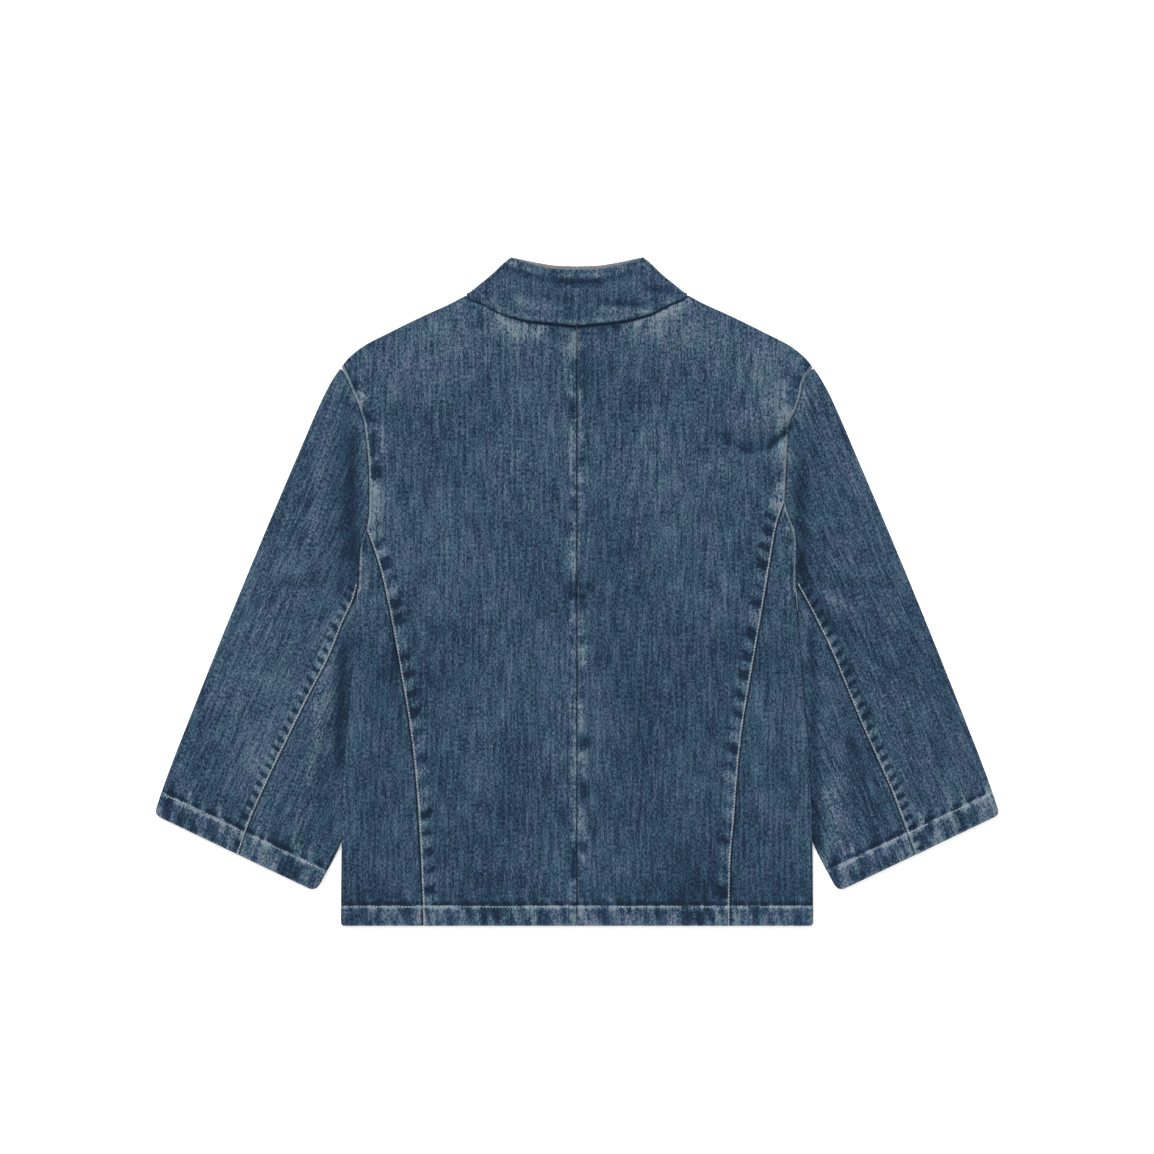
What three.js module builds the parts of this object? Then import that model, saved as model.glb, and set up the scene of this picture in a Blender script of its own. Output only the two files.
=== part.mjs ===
// Denim jacket laid flat on its front, back uppermost, sewn from twelve pieces of cloth.
// Millimetres. X runs across the body, Y from hem to collar, Z up from the surface it lies on.
import * as THREE from "three";

// Cloth and its layers
const CLOTH = 1.2; // wall of one layer of denim
const FACING_CLOTH = 1.0; // wall of the inner collar
const SEAM_GAP = 0.3; // between neighbouring pieces at a seam
const LAYER_GAP = 0.6; // least room between the upper and the lower layer
const LOOSE = 1.4; // how much further the upper layer stands off away from its edges
const EDGE_REACH = 30; // over which the looseness dies out towards an edge
const FOLD_ROLL = 2.2; // how far the cloth runs round a fold, seen from above
const FIRST_ROLL = 0.4; // share of it where the fold starts at a seam

// Turned-up hems
const HEM_DEPTH = 20;
const CUFF_DEPTH = 24;
const HEM_STEP = 1.5; // over which the wall thickens
const HEM_EXTRA = 1.0; // added to the wall of each layer

// Body over the hidden part of the sleeves
const BODY_LIFT = 3.5;
const LIFT_FLAT = 6; // still full this far past the fold of the sleeve
const LIFT_END = 46; // and gone here
const LIFT_START_Y = 8; // underarm, where the body begins to climb
const LIFT_FULL_Y = -17;

// Collar layers, from the surface up
const FACING_FRONT_Z = 1.5;
const FACING_BACK_Z = 2.8;
const COLLAR_BACK_Z = 4.1;
const NECK_REACH = 45; // over which the back panels come down from the collar
const NECK_EDGE = 10; // over which they come down at the shoulder edge
const FACING_INSET = 1.7; // of the facing inside the fold of the collar
const COLLAR_ROLL = 2.6; // how far collar and facing run round their folds
const FACING_ROLL = 1.4;

const HEM_Y = -334;
const CUFF_INNER_Y = -300;

// How finely the pieces are divided
const ARMHOLE_UPPER = 10; // shoulder to the curved back seam
const ARMHOLE_LOWER = 4; // on to the back seam of the sleeve
const ARMHOLE_FRONT = 13; // armhole steps taken by the outer sleeve beneath
const BODY_ROWS = 18; // below the armhole
const SLEEVE_ROWS = 15;
const NECK_COLUMNS = 8; // of body and collar alike
const SHOULDER_COLUMNS = 7;
const UNDER_COLUMNS = 6;
const ROLL_COLUMNS = 4;
const COLLAR_ROWS = 6;

const table = (columns, ...rows) =>
  rows.map((row) => Object.fromEntries(columns.map((name, k) => [name, row[k]])));

// Lines of the jacket: half width from the centre back at each height
const NECK_SEAM = table(["half", "y"],
  [0, 263], [20, 265], [40, 267], [60, 271], [77.5, 277], [92.5, 285], [107.5, 291.5], [111, 295.5]);
const FRONT_NECK = table(["half", "y"],
  [0, 215], [30, 219], [60, 233], [82, 252], [97, 271], [107, 287], [111, 295.5]);
const SHOULDER = table(["half", "y"],
  [111, 295.5], [127, 287], [153.5, 275], [190, 257], [213, 245], [228, 233], [235.5, 224]);
const ARMHOLE = table(["y", "left", "right"],
  [224, 235.5, 235.5],
  [207, 227.5, 225.5],
  [193, 221.5, 222.5],
  [180, 216.5, 218.0],
  [166, 212.5, 211.5],
  [151, 210.5, 210.5],
  [131, 208.5, 209.5],
  [111, 207.5, 208.5],
  [91, 207.5, 208.0],
  [75, 208.0, 212.0],
  [62, 210.5, 217.5],
  [48, 216.0, 219.2],
  [34, 217.0, 219.3],
  [19, 218.0, 219.0],
  [8, 218.5, 218.8],
  [1, 218.5, 218.5]);
const PRINCESS = {
  left: table(["half", "y"],
    [210.5, 62], [204.5, 46], [196.5, 21], [189.5, -9], [183.5, -39], [176.5, -79],
    [169.5, -119], [163.5, -164], [159.5, -209], [156.5, -259], [153.5, HEM_Y]),
  right: table(["half", "y"],
    [208, 91], [202.5, 76], [198.5, 61], [193.5, 31], [188.5, 1], [183.5, -29], [177.5, -64],
    [170.5, -104], [164.5, -144], [160.5, -184], [157.5, -224], [153.5, -274], [152.5, HEM_Y]),
};
const SIDE_FOLD = table(["half", "y"],
  [218.5, 1], [222, -49], [226.5, -109], [232, -169], [235, -252], [236, HEM_Y]);
const SIDE_FRONT = table(["half", "y"], [200, 20], [188, -90], [181, -200], [178, HEM_Y]);
const SLEEVE_OUTER = table(["half", "y"],
  [236.3, 223.1], [242, 215], [249, 203], [255, 191], [281, 131], [315, 51],
  [348, -29], [380, -109], [411, -189], [422.5, -223]);
const SLEEVE_SEAM = table(["y", "left", "right"],
  [8, 218.5, 219.0],
  [-7, 222.5, 227.5],
  [-31, 233.5, 240.0],
  [-64, 246.5, 255.5],
  [-99, 264.5, 270.0],
  [-129, 279.5, 282.5],
  [-164, 296.5, 298.0],
  [-200, 313.5, 314.0],
  [-229, 326.0, 325.0],
  [-263.2, 337.8, 337.8]);
const SLEEVE_INNER = table(["half", "y"],
  [219.2, 1], [219.9, -9], [220.5, -18], [213, -40], [202, -72], [196, -105],
  [200, -140], [215, -190], [236, -252], [260.5, CUFF_INNER_Y]);
const SLEEVE_FRONT = table(["half", "y"], [226, 8], [247, -40], [292, -140], [339.9, -262.3]);
const COLLAR_FOLD = table(["half", "y"],
  [111, 295.5], [99, 305], [84.5, 317], [73, 328], [66, 333.5]);
const COLLAR_TOP = table(["half", "y"],
  [0, 320.5], [20, 321.3], [40, 325], [58, 330.3], [66, 333.5]);
const FACING_TOP = table(["half", "y"],
  [0, 324.3], [20, 325], [40, 328], [58, 331.8], [64, 333]);
const COLLAR_FRONT_Y = 272; // top of the collar at the centre front
const FACING_RAISE = 5; // of the neck edge of the facing above the neck seam
const FACING_FOLD_START = new THREE.Vector2(104, 298.8); // its lower corner at the side

// Largest folds of the upper layer, each a soft ridge (or trough, below zero) along a line
const FOLDS = table(["x0", "y0", "x1", "y1", "wide", "high"],
  [226, 190, 165, 168, 15, 3.2], // bulge above the dent at the right armhole
  [214, 158, 150, 150, 9, -1.3], // the dent itself
  [205, 138, 150, 122, 16, 1.2],
  [-231, 190, -226, 30, 9, -1.2], // valley beside the left armhole
  [-216, 190, -203, 70, 8, 1.4],
  [228, 130, 231, 20, 8, -1.0], // valley beside the right armhole
  [-244, -62, -282, -240, 9, 2.4], // folds that fan out under the arms
  [-300, -40, -322, -190, 16, 1.2],
  [250, -60, 262, -235, 12, 2.6],
  [290, -70, 322, -200, 12, 1.2],
  [-262, 60, -345, -120, 14, 1.0],
  [262, 60, 345, -120, 14, 1.0],
  [-60, 130, -95, -190, 26, 1.3],
  [70, 150, 96, -200, 26, 1.3],
  [-130, 60, -120, -120, 22, 1.0],
  [140, 40, 125, -140, 22, 1.0],
  [-190, -130, -196, -290, 14, 1.0],
  [190, -110, 196, -290, 14, 1.0]);

const DENIM = new THREE.MeshStandardMaterial({ color: 0x3f5a78, roughness: 0.92, metalness: 0 });
const FACING = new THREE.MeshStandardMaterial({ color: 0x9a9ca0, roughness: 0.95, metalness: 0 });

const SIGN = { left: -1, right: 1 };
const clamp = (value) => Math.min(1, Math.max(0, value));
const smooth = (from, to, value) => {
  const t = clamp((value - from) / (to - from));
  return t * t * (3 - 2 * t);
};
const mix = (a, b, t) => a + (b - a) * t;

// A smooth curve through the rows of a table, without overshoot between them
function curve(rows, from, to) {
  const sorted = [...rows].sort((a, b) => a[from] - b[from]);
  const xs = sorted.map((row) => row[from]);
  const ys = sorted.map((row) => row[to]);
  const rise = xs.slice(1).map((x, k) => (ys[k + 1] - ys[k]) / (x - xs[k]));
  const slope = xs.map((_, k) => {
    if (k === 0 || k === xs.length - 1) return rise[Math.min(k, rise.length - 1)];
    return rise[k - 1] * rise[k] > 0 ? 2 / (1 / rise[k - 1] + 1 / rise[k]) : 0;
  });
  return (x) => {
    let k = 0;
    while (k < xs.length - 2 && x > xs[k + 1]) k += 1;
    const span = xs[k + 1] - xs[k];
    const t = clamp((x - xs[k]) / span);
    const s = t * t * (3 - 2 * t);
    return mix(ys[k], ys[k + 1], s) + span * t * (1 - t) * ((1 - t) * slope[k] - t * slope[k + 1]);
  };
}

// The same curve as a finely traced line from the first row of the table to the last
function traced(rows, along, across) {
  const at = curve(rows, along, across);
  const first = rows[0][along];
  const last = rows[rows.length - 1][along];
  return Array.from({ length: 241 }, (_, k) => {
    const value = mix(first, last, k / 240);
    return along === "y" ? new THREE.Vector2(at(value), value) : new THREE.Vector2(value, at(value));
  });
}

// Evenly spaced points along a line; with a hem of some depth, the last two steps are its thickening
// and its depth
function spaced(line, steps, hem = 0) {
  const reach = [0];
  line.slice(1).forEach((point, k) => reach.push(reach[k] + point.distanceTo(line[k])));
  const total = reach[reach.length - 1];
  const even = hem ? steps - 2 : steps;
  const stops = Array.from({ length: even + 1 },
    (_, k) => (k / even) * (hem ? total - hem - HEM_STEP : total));
  if (hem) stops.push(total - hem, total);
  let k = 0;
  return stops.map((stop) => {
    while (k < line.length - 2 && reach[k + 1] < stop) k += 1;
    return line[k].clone().lerp(line[k + 1], clamp((stop - reach[k]) / (reach[k + 1] - reach[k])));
  });
}

const straight = (a, b, steps, hem = 0) => spaced([a, b], steps, hem);
const between = (line, upper, lower) => line.filter((point) => point.y <= upper && point.y >= lower);
const spot = (half, y) => new THREE.Vector2(half, y);

// A piece in plan, filled in from its four edges; rows run down it, columns across it
function filled({ top, bottom, inner, outer }) {
  const rows = inner.length - 1;
  const columns = top.length - 1;
  const corner = (v, u) => {
    const start = inner[0].clone().lerp(inner[rows], v);
    return start.lerp(outer[0].clone().lerp(outer[rows], v), u);
  };
  return inner.map((_, i) => top.map((__, j) => {
    if (j === 0) return inner[i].clone();
    if (j === columns) return outer[i].clone();
    if (i === 0) return top[j].clone();
    if (i === rows) return bottom[j].clone();
    const v = i / rows;
    const u = j / columns;
    const down = top[j].clone().lerp(bottom[j], v);
    const across = inner[i].clone().lerp(outer[i], u);
    return down.add(across).sub(corner(v, u));
  }));
}

// Sewn edges drawn back by half the seam gap, square to the edge
function drawnBack(grid, edges) {
  const rows = grid.length - 1;
  const columns = grid[0].length - 1;
  const inward = (i, j, along, into) => {
    const at = (di, dj) =>
      grid[Math.min(rows, Math.max(0, i + di))][Math.min(columns, Math.max(0, j + dj))];
    const run = at(...along).clone().sub(at(-along[0], -along[1])).normalize();
    const normal = new THREE.Vector2(-run.y, run.x);
    return normal.dot(at(...into).clone().sub(grid[i][j])) < 0 ? normal.negate() : normal;
  };
  return grid.map((row, i) => row.map((point, j) => {
    const normals = [];
    if (j === 0 && edges.includes("inner")) normals.push(inward(i, j, [1, 0], [0, 1]));
    if (j === columns && edges.includes("outer")) normals.push(inward(i, j, [1, 0], [0, -1]));
    if (i === 0 && edges.includes("top")) normals.push(inward(i, j, [0, 1], [1, 0]));
    if (!normals.length) return point;
    const both = normals.length === 2 ? 1 + normals[0].dot(normals[1]) : 1;
    const step = normals.reduce((sum, normal) => sum.add(normal), new THREE.Vector2());
    return point.clone().addScaledVector(step, SEAM_GAP / 2 / Math.max(both, 0.08));
  }));
}

// The lines of both sides as heights and widths
const sideFold = curve(SIDE_FOLD, "y", "half");
const sleeveInner = curve(SLEEVE_INNER, "y", "half");
const sleeveOuter = curve(SLEEVE_OUTER, "y", "half");
const shoulder = curve(SHOULDER, "half", "y");
const frontNeck = curve(FRONT_NECK, "half", "y");
const CUFF_OUTER = spot(422.5, -223);
const CUFF_INNER = spot(260.5, CUFF_INNER_Y);
const CUFF_RUN = CUFF_INNER.clone().sub(CUFF_OUTER).normalize();

const belowShoulder = (half, y) =>
  (half < SHOULDER[0].half ? Infinity : shoulder(Math.min(half, 235.5)) - y);
const aboveCuff = (half, y) =>
  (half - CUFF_OUTER.x) * CUFF_RUN.y - (y - CUFF_OUTER.y) * CUFF_RUN.x;

function lift(half, y) {
  const past = y > CUFF_INNER_Y
    ? sleeveInner(y) - half
    : Math.hypot(CUFF_INNER.x - half, CUFF_INNER_Y - y);
  return BODY_LIFT * (1 - smooth(LIFT_FLAT, LIFT_END, past)) * smooth(LIFT_START_Y, LIFT_FULL_Y, y);
}

function folds(x, y) {
  return FOLDS.reduce((sum, { x0, y0, x1, y1, wide, high }) => {
    const run = spot(x1 - x0, y1 - y0);
    const t = clamp(((x - x0) * run.x + (y - y0) * run.y) / run.lengthSq());
    const off = Math.hypot(x - x0 - run.x * t, y - y0 - run.y * t) / wide;
    return sum + high * Math.exp(-off * off);
  }, 0);
}

const standOff = (x, y, edge) =>
  Math.max(0, LOOSE * smooth(0, EDGE_REACH, edge) + folds(x, y) * smooth(0, EDGE_REACH, edge));

// Height of the lower face of each layer
const layers = {
  bodyLower: (side, { x, y }) => lift(x, y),
  bodyUpper: (side, { x, y }) => {
    const besideFold = sideFold(y) - x + Math.max(0, y - 1);
    const edge = Math.min(besideFold, belowShoulder(x, y), y - HEM_Y);
    const neck = Math.hypot(Math.max(0, x - 105), Math.max(0, frontNeck(Math.min(x, 105)) - y));
    const raised = (1 - smooth(0, NECK_REACH, neck)) * smooth(0, NECK_EDGE, belowShoulder(x, y));
    const room = mix(standOff(SIGN[side] * x, y, edge), COLLAR_BACK_Z - CLOTH - LAYER_GAP, raised);
    return lift(x, y) + CLOTH + LAYER_GAP + room;
  },
  sleeveLower: () => 0,
  sleeveUpper: (side, { x, y }) => {
    const besideBody = y > 1 ? y + EDGE_REACH * smooth(1, 30, y) : x - sideFold(y) - 3;
    const edge = Math.min(besideBody, sleeveOuter(y) - x, aboveCuff(x, y));
    return CLOTH + LAYER_GAP + standOff(SIGN[side] * x, y, edge);
  },
};

// Outer and inner face of a flat layer, the hem rows thicker
function layered(grid, side, lowerFace, upper) {
  const rows = grid.length - 1;
  return grid.map((row, i) => row.map((point) => {
    const hem = i >= rows - 1 ? HEM_EXTRA : 0;
    const z = lowerFace(side, point) + (upper ? hem : 0);
    const low = new THREE.Vector3(point.x, point.y, z);
    const high = new THREE.Vector3(point.x, point.y, z + CLOTH + hem);
    return upper ? { outer: high, inner: low } : { outer: low, inner: high };
  }));
}

// Columns that carry an upper layer round a fold into the lower one
function rolled(upper, lower, fold, roll, wall) {
  return fold.map((tip, i) => {
    const top = upper[i].at(-1);
    const bottom = lower[i].at(-1);
    return Array.from({ length: ROLL_COLUMNS - 1 }, (_, k) => {
      const angle = Math.PI / 2 - (Math.PI * (k + 1)) / ROLL_COLUMNS;
      const face = (name, share) => {
        const point = bottom[name].clone().lerp(top[name], (1 + Math.sin(angle)) / 2);
        const reach = share * Math.cos(angle);
        return point.lerp(new THREE.Vector3(tip.x, tip.y, point.z), reach);
      };
      return { outer: face("outer", 1), inner: face("inner", Math.max(1 - wall / roll, 0.3)) };
    });
  });
}

// The line where a flat layer ends and its roll begins; it starts on the sewn edge that comes from "before"
function rollStart(fold, roll, away, before) {
  return fold.map((tip, i) => {
    if (i === 0) return tip.clone().lerp(before, (FIRST_ROLL * roll) / tip.distanceTo(before));
    const run = fold[Math.min(i + 1, fold.length - 1)].clone().sub(fold[i - 1]).normalize();
    return tip.clone().sub(new THREE.Vector2(-run.y, run.x).multiplyScalar(away * roll));
  });
}

// A fold line, begun clear of the seam it starts from
function foldLine(rows, along, across, steps, hem) {
  const line = spaced(traced(rows, along, across), steps, hem);
  line[0].lerp(line[1], SEAM_GAP / line[0].distanceTo(line[1]));
  return line;
}

const joined = (upper, roll, lower) =>
  upper.map((row, i) => [...row, ...(roll[i] ?? []), ...[...lower[i]].reverse()]);

// A closed wall of cloth between its two faces
function cloth(name, faces, sign, material) {
  const rows = faces.length;
  const columns = faces[0].length;
  const count = rows * columns;
  const points = [...faces.flat().map((f) => f.outer), ...faces.flat().map((f) => f.inner)];
  const positions = points.flatMap((p) => [p.x * sign, p.y, p.z]);
  const triangles = [];
  const quad = (a, b, c, d) => {
    const short = points[a].distanceToSquared(points[c]) <= points[b].distanceToSquared(points[d]);
    triangles.push(...(short ? [a, b, c, a, c, d] : [a, b, d, b, c, d]));
  };
  const at = (i, j) => i * columns + j;
  for (let i = 0; i < rows - 1; i += 1) {
    for (let j = 0; j < columns - 1; j += 1) {
      const cell = [at(i, j), at(i + 1, j), at(i + 1, j + 1), at(i, j + 1)];
      quad(...cell);
      quad(...[...cell].reverse().map((k) => k + count));
    }
  }
  const rim = [];
  for (let i = 0; i < rows - 1; i += 1) rim.push(at(i, 0));
  for (let j = 0; j < columns - 1; j += 1) rim.push(at(rows - 1, j));
  for (let i = rows - 1; i > 0; i -= 1) rim.push(at(i, columns - 1));
  for (let j = columns - 1; j > 0; j -= 1) rim.push(at(0, j));
  rim.forEach((a, k) => {
    const b = rim[(k + 1) % rim.length];
    quad(b, a, a + count, b + count);
  });
  let volume = 0;
  const corner = (k) => new THREE.Vector3().fromArray(positions, triangles[k] * 3);
  for (let k = 0; k < triangles.length; k += 3) {
    volume += corner(k).dot(corner(k + 1).cross(corner(k + 2)));
  }
  if (volume < 0) triangles.reverse();
  const geometry = new THREE.BufferGeometry();
  geometry.setAttribute("position", new THREE.Float32BufferAttribute(positions, 3));
  geometry.setIndex(triangles);
  geometry.computeVertexNormals();
  const mesh = new THREE.Mesh(geometry, material);
  mesh.name = name;
  return mesh;
}

// One side of the jacket
function half(side) {
  const sign = SIGN[side];
  const hole = traced(ARMHOLE, "y", side);
  const joinY = PRINCESS[side][0].y;
  const seamY = SLEEVE_SEAM[0].y;
  const armhole = [
    ...spaced(between(hole, Infinity, joinY), ARMHOLE_UPPER),
    ...spaced(between(hole, joinY, seamY), ARMHOLE_LOWER).slice(1),
    hole[hole.length - 1],
  ];
  const join = armhole[ARMHOLE_UPPER];
  const seamTop = armhole[ARMHOLE_UPPER + ARMHOLE_LOWER];
  
  // Body panels
  const shoulderEdge = spaced(traced(SHOULDER, "half", "y"), SHOULDER_COLUMNS).slice(1);
  const princess = spaced([join, ...traced(PRINCESS[side], "y", "half").slice(1)], BODY_ROWS, HEM_DEPTH);
  const sideFront = spaced([join, ...traced(SIDE_FRONT, "y", "half")], BODY_ROWS, HEM_DEPTH);
  const panel = (neck, neckY, seam) => filled({
    top: [...spaced(traced(neck, "half", "y"), NECK_COLUMNS), ...shoulderEdge],
    bottom: straight(spot(0, HEM_Y), seam[BODY_ROWS], NECK_COLUMNS + SHOULDER_COLUMNS),
    inner: straight(spot(0, neckY), spot(0, HEM_Y), ARMHOLE_UPPER + BODY_ROWS, HEM_DEPTH),
    outer: [...armhole.slice(0, ARMHOLE_UPPER), ...seam],
  });
  const sewn = ["inner", "outer", "top"];
  const back = drawnBack(panel(NECK_SEAM, NECK_SEAM[0].y, princess), sewn);
  const front = drawnBack(panel(FRONT_NECK, FRONT_NECK[0].y, sideFront), sewn);

  // Side panel, round the side fold
  const sideLine = foldLine(SIDE_FOLD, "y", "half", BODY_ROWS, HEM_DEPTH);
  const sideStart = rollStart(sideLine, FOLD_ROLL, 1, seamTop);
  const sideTop = [...armhole.slice(ARMHOLE_UPPER, -1), sideStart[0]];
  const sidePart = (seam) => drawnBack(filled({
    top: sideTop,
    bottom: straight(seam[BODY_ROWS], sideStart[BODY_ROWS], sideTop.length - 1),
    inner: seam,
    outer: sideStart,
  }), ["inner", "top"]);
  const sideUpper = layered(sidePart(princess), side, layers.bodyUpper, true);
  const sideLower = layered(sidePart(sideFront), side, layers.bodyLower, false);
  const sideRoll = rolled(sideUpper, sideLower, sideLine, FOLD_ROLL, CLOTH);

  // Outer sleeve, round the outer fold
  const backSeam = spaced([seamTop, ...traced(SLEEVE_SEAM, "y", side).slice(1)], SLEEVE_ROWS, CUFF_DEPTH);
  const frontTop = armhole[ARMHOLE_FRONT];
  const frontSeam = spaced([frontTop, ...traced(SLEEVE_FRONT, "y", "half")], SLEEVE_ROWS, CUFF_DEPTH);
  const outerLine = foldLine(SLEEVE_OUTER, "y", "half", SLEEVE_ROWS, CUFF_DEPTH);
  const outerStart = rollStart(outerLine, FOLD_ROLL, 1, armhole[1]);
  const outerPart = (seam, steps) => drawnBack(filled({
    top: [...armhole.slice(1, steps + 1).reverse(), outerStart[0]],
    bottom: straight(seam[SLEEVE_ROWS], outerStart[SLEEVE_ROWS], steps),
    inner: seam,
    outer: outerStart,
  }), ["inner", "top"]);
  const outerUpper = layered(
    outerPart(backSeam, ARMHOLE_UPPER + ARMHOLE_LOWER), side, layers.sleeveUpper, true);
  const outerLower = layered(outerPart(frontSeam, ARMHOLE_FRONT), side, layers.sleeveLower, false);
  const outerRoll = rolled(outerUpper, outerLower, outerLine, FOLD_ROLL, CLOTH);

  // Inner sleeve, round the fold under the arm
  const innerLine = foldLine(SLEEVE_INNER, "y", "half", SLEEVE_ROWS, CUFF_DEPTH);
  const innerStart = rollStart(innerLine, FOLD_ROLL, -1, seamTop);
  const innerPart = (seam, top) => drawnBack(filled({
    top,
    bottom: straight(seam[SLEEVE_ROWS], innerStart[SLEEVE_ROWS], top.length - 1),
    inner: seam,
    outer: innerStart,
  }), ["inner", "top"]);
  const underTop = straight(seamTop, innerStart[0], UNDER_COLUMNS);
  const underFront = [...armhole.slice(ARMHOLE_FRONT, -1), innerStart[0]];
  const innerUpper = layered(innerPart(backSeam, underTop), side, layers.sleeveUpper, true);
  const innerLower = layered(innerPart(frontSeam, underFront), side, layers.sleeveLower, false);
  const innerRoll = rolled(innerUpper, innerLower, innerLine, FOLD_ROLL, CLOTH);

  return [
    cloth(`back_${side}`, layered(back, side, layers.bodyUpper, true), sign, DENIM),
    cloth(`side_${side}`, joined(sideUpper, sideRoll, sideLower), sign, DENIM),
    cloth(`front_${side}`, layered(front, side, layers.bodyLower, false), sign, DENIM),
    cloth(`upper_sleeve_${side}`, joined(outerUpper, outerRoll, outerLower), sign, DENIM),
    cloth(`under_sleeve_${side}`, joined(innerUpper, innerRoll, innerLower), sign, DENIM),
  ];
}

// A collar piece: half a band from the centre back round the side to the centre front, then mirrored
function band(name, { neck, front, fold, topEdge, frontTop, lowZ, highZ, wall, roll, material }) {
  const part = (lower, topLine) => {
    const start = rollStart(fold, roll, -1, lower.at(-2));
    return drawnBack(filled({
      top: [...lower.slice(0, -1), start[0]],
      bottom: [...topLine.slice(0, -1), start[COLLAR_ROWS]],
      inner: straight(lower[0], topLine[0], COLLAR_ROWS),
      outer: start,
    }), ["top"]);
  };
  const layer = (grid, low, upper) => grid.map((row) => row.map((point) => {
    const under = new THREE.Vector3(point.x, point.y, low);
    const over = new THREE.Vector3(point.x, point.y, low + wall);
    return upper ? { outer: over, inner: under } : { outer: under, inner: over };
  }));
  const inFront = straight(spot(SEAM_GAP / 2, frontTop), topEdge.at(-1), NECK_COLUMNS);
  const upper = layer(part(neck, topEdge), highZ, true);
  const lower = layer(part(front, inFront), lowZ, false);
  const right = joined(upper, rolled(upper, lower, fold, roll, wall), lower);
  const flip = (point) => new THREE.Vector3(-point.x, point.y, point.z);
  const mirrored = ({ outer, inner }) => ({ outer: flip(outer), inner: flip(inner) });
  const whole = right.map((row) => [...row.slice(1).map(mirrored).reverse(), ...row]);
  return cloth(name, whole, 1, material);
}

function collarPieces() {
  const fold = foldLine(COLLAR_FOLD, "half", "y", COLLAR_ROWS, false);
  const neck = spaced(traced(NECK_SEAM, "half", "y"), NECK_COLUMNS);
  const front = spaced(traced([{ half: SEAM_GAP / 2, y: 215 }, ...FRONT_NECK.slice(1)], "half", "y"),
    NECK_COLUMNS);
  const collar = band("collar", {
    neck,
    front,
    fold,
    topEdge: spaced(traced(COLLAR_TOP, "half", "y"), NECK_COLUMNS),
    frontTop: COLLAR_FRONT_Y,
    lowZ: 0,
    highZ: COLLAR_BACK_Z,
    wall: CLOTH,
    roll: COLLAR_ROLL,
    material: DENIM,
  });
  const foldStart = FACING_FOLD_START;
  const inset = rollStart(fold, FACING_INSET, -1, neck[0]).map((tip, i) => (i ? tip : foldStart));
  const raised = (line) => line.map((point) =>
    spot((point.x * foldStart.x) / NECK_SEAM.at(-1).half, point.y + FACING_RAISE * (1 - point.x / 300)));
  const facing = band("collar_facing", {
    neck: raised(neck),
    front: raised(front),
    fold: inset,
    topEdge: spaced(traced(FACING_TOP, "half", "y"), NECK_COLUMNS),
    frontTop: COLLAR_FRONT_Y + 3,
    lowZ: FACING_FRONT_Z,
    highZ: FACING_BACK_Z,
    wall: FACING_CLOTH,
    roll: FACING_ROLL,
    material: FACING,
  });
  return [collar, facing];
}

const group = new THREE.Group();
group.name = "denim_jacket";
group.add(...half("left"), ...half("right"), ...collarPieces());

export default group;
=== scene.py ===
# Denim jacket laid flat on its front, back uppermost, on a plain pale surface.
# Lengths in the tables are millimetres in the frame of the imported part: X across the body,
# Y from hem to collar, Z up. Every mesh is made in metres.
import math

import bpy
import numpy as np
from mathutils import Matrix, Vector


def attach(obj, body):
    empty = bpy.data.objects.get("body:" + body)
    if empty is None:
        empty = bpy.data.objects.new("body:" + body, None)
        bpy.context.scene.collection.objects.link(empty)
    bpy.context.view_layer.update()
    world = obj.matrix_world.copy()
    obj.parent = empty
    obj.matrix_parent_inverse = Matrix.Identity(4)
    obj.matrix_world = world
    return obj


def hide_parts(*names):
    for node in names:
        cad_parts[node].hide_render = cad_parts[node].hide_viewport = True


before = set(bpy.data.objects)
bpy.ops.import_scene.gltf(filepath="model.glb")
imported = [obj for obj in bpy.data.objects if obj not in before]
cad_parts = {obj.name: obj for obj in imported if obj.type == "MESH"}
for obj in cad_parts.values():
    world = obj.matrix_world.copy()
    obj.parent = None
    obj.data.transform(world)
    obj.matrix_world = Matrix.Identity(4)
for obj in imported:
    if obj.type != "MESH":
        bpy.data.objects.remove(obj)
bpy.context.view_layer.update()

MM = 0.001

# Cloth and its layers, as in the solids
CLOTH = 1.2
SHELL = 1.0  # wall of the thin shell that is seen
FACING_SHELL = 0.9
SEAM_GAP = 0.3
LAYER_GAP = 0.6
LOOSE = 1.4
EDGE_REACH = 30
FOLD_ROLL = 2.2
FIRST_ROLL = 0.4

# Turned-up hems
HEM_DEPTH = 20
CUFF_DEPTH = 24
HEM_STEP = 1.6
HEM_EXTRA = 1.0
HEM_STITCH = 18.6  # of the stitch line above the edge
TURN_UP_GAP = 1.1  # from the outer face to the turned-up cloth behind it
TUCK = 0.3  # of the rounded edge beyond the last row

# Body over the hidden part of the sleeves
BODY_LIFT = 3.5
LIFT_FLAT = 6
LIFT_END = 46
LIFT_START_Y = 8
LIFT_FULL_Y = -17

# Collar layers
FACING_FRONT_Z = 1.5
FACING_BACK_Z = 2.8
COLLAR_BACK_Z = 4.1
LEAST_GAP = 0.05  # between the collar and its facing where a crease is pressed in
COLLAR_ROLL = 2.6
FACING_ROLL = 1.4
NECK_REACH = 45
NECK_EDGE = 10
FACING_INSET = 1.7
FACING_RAISE = 5
FACING_FOLD_START = (104, 298.8)
COLLAR_FRONT_Y = 272

HEM_Y = -334
CUFF_INNER_Y = -300
FRONT_NECK_Y = 215

# Softly turned corners: how far the turn reaches, and how round it is, 1 for an arc
CUFF_OUTER_CORNER = 6.5
CUFF_INNER_CORNER = 8
HEM_CORNER = 3
ROUNDNESS = 0.9

THREAD = 1.3
STITCH_OFF_SEAM = 1.4  # of a stitch line from its seam
SINKING = 1.15  # of the stitches into a hem, in widths of the thread

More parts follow.
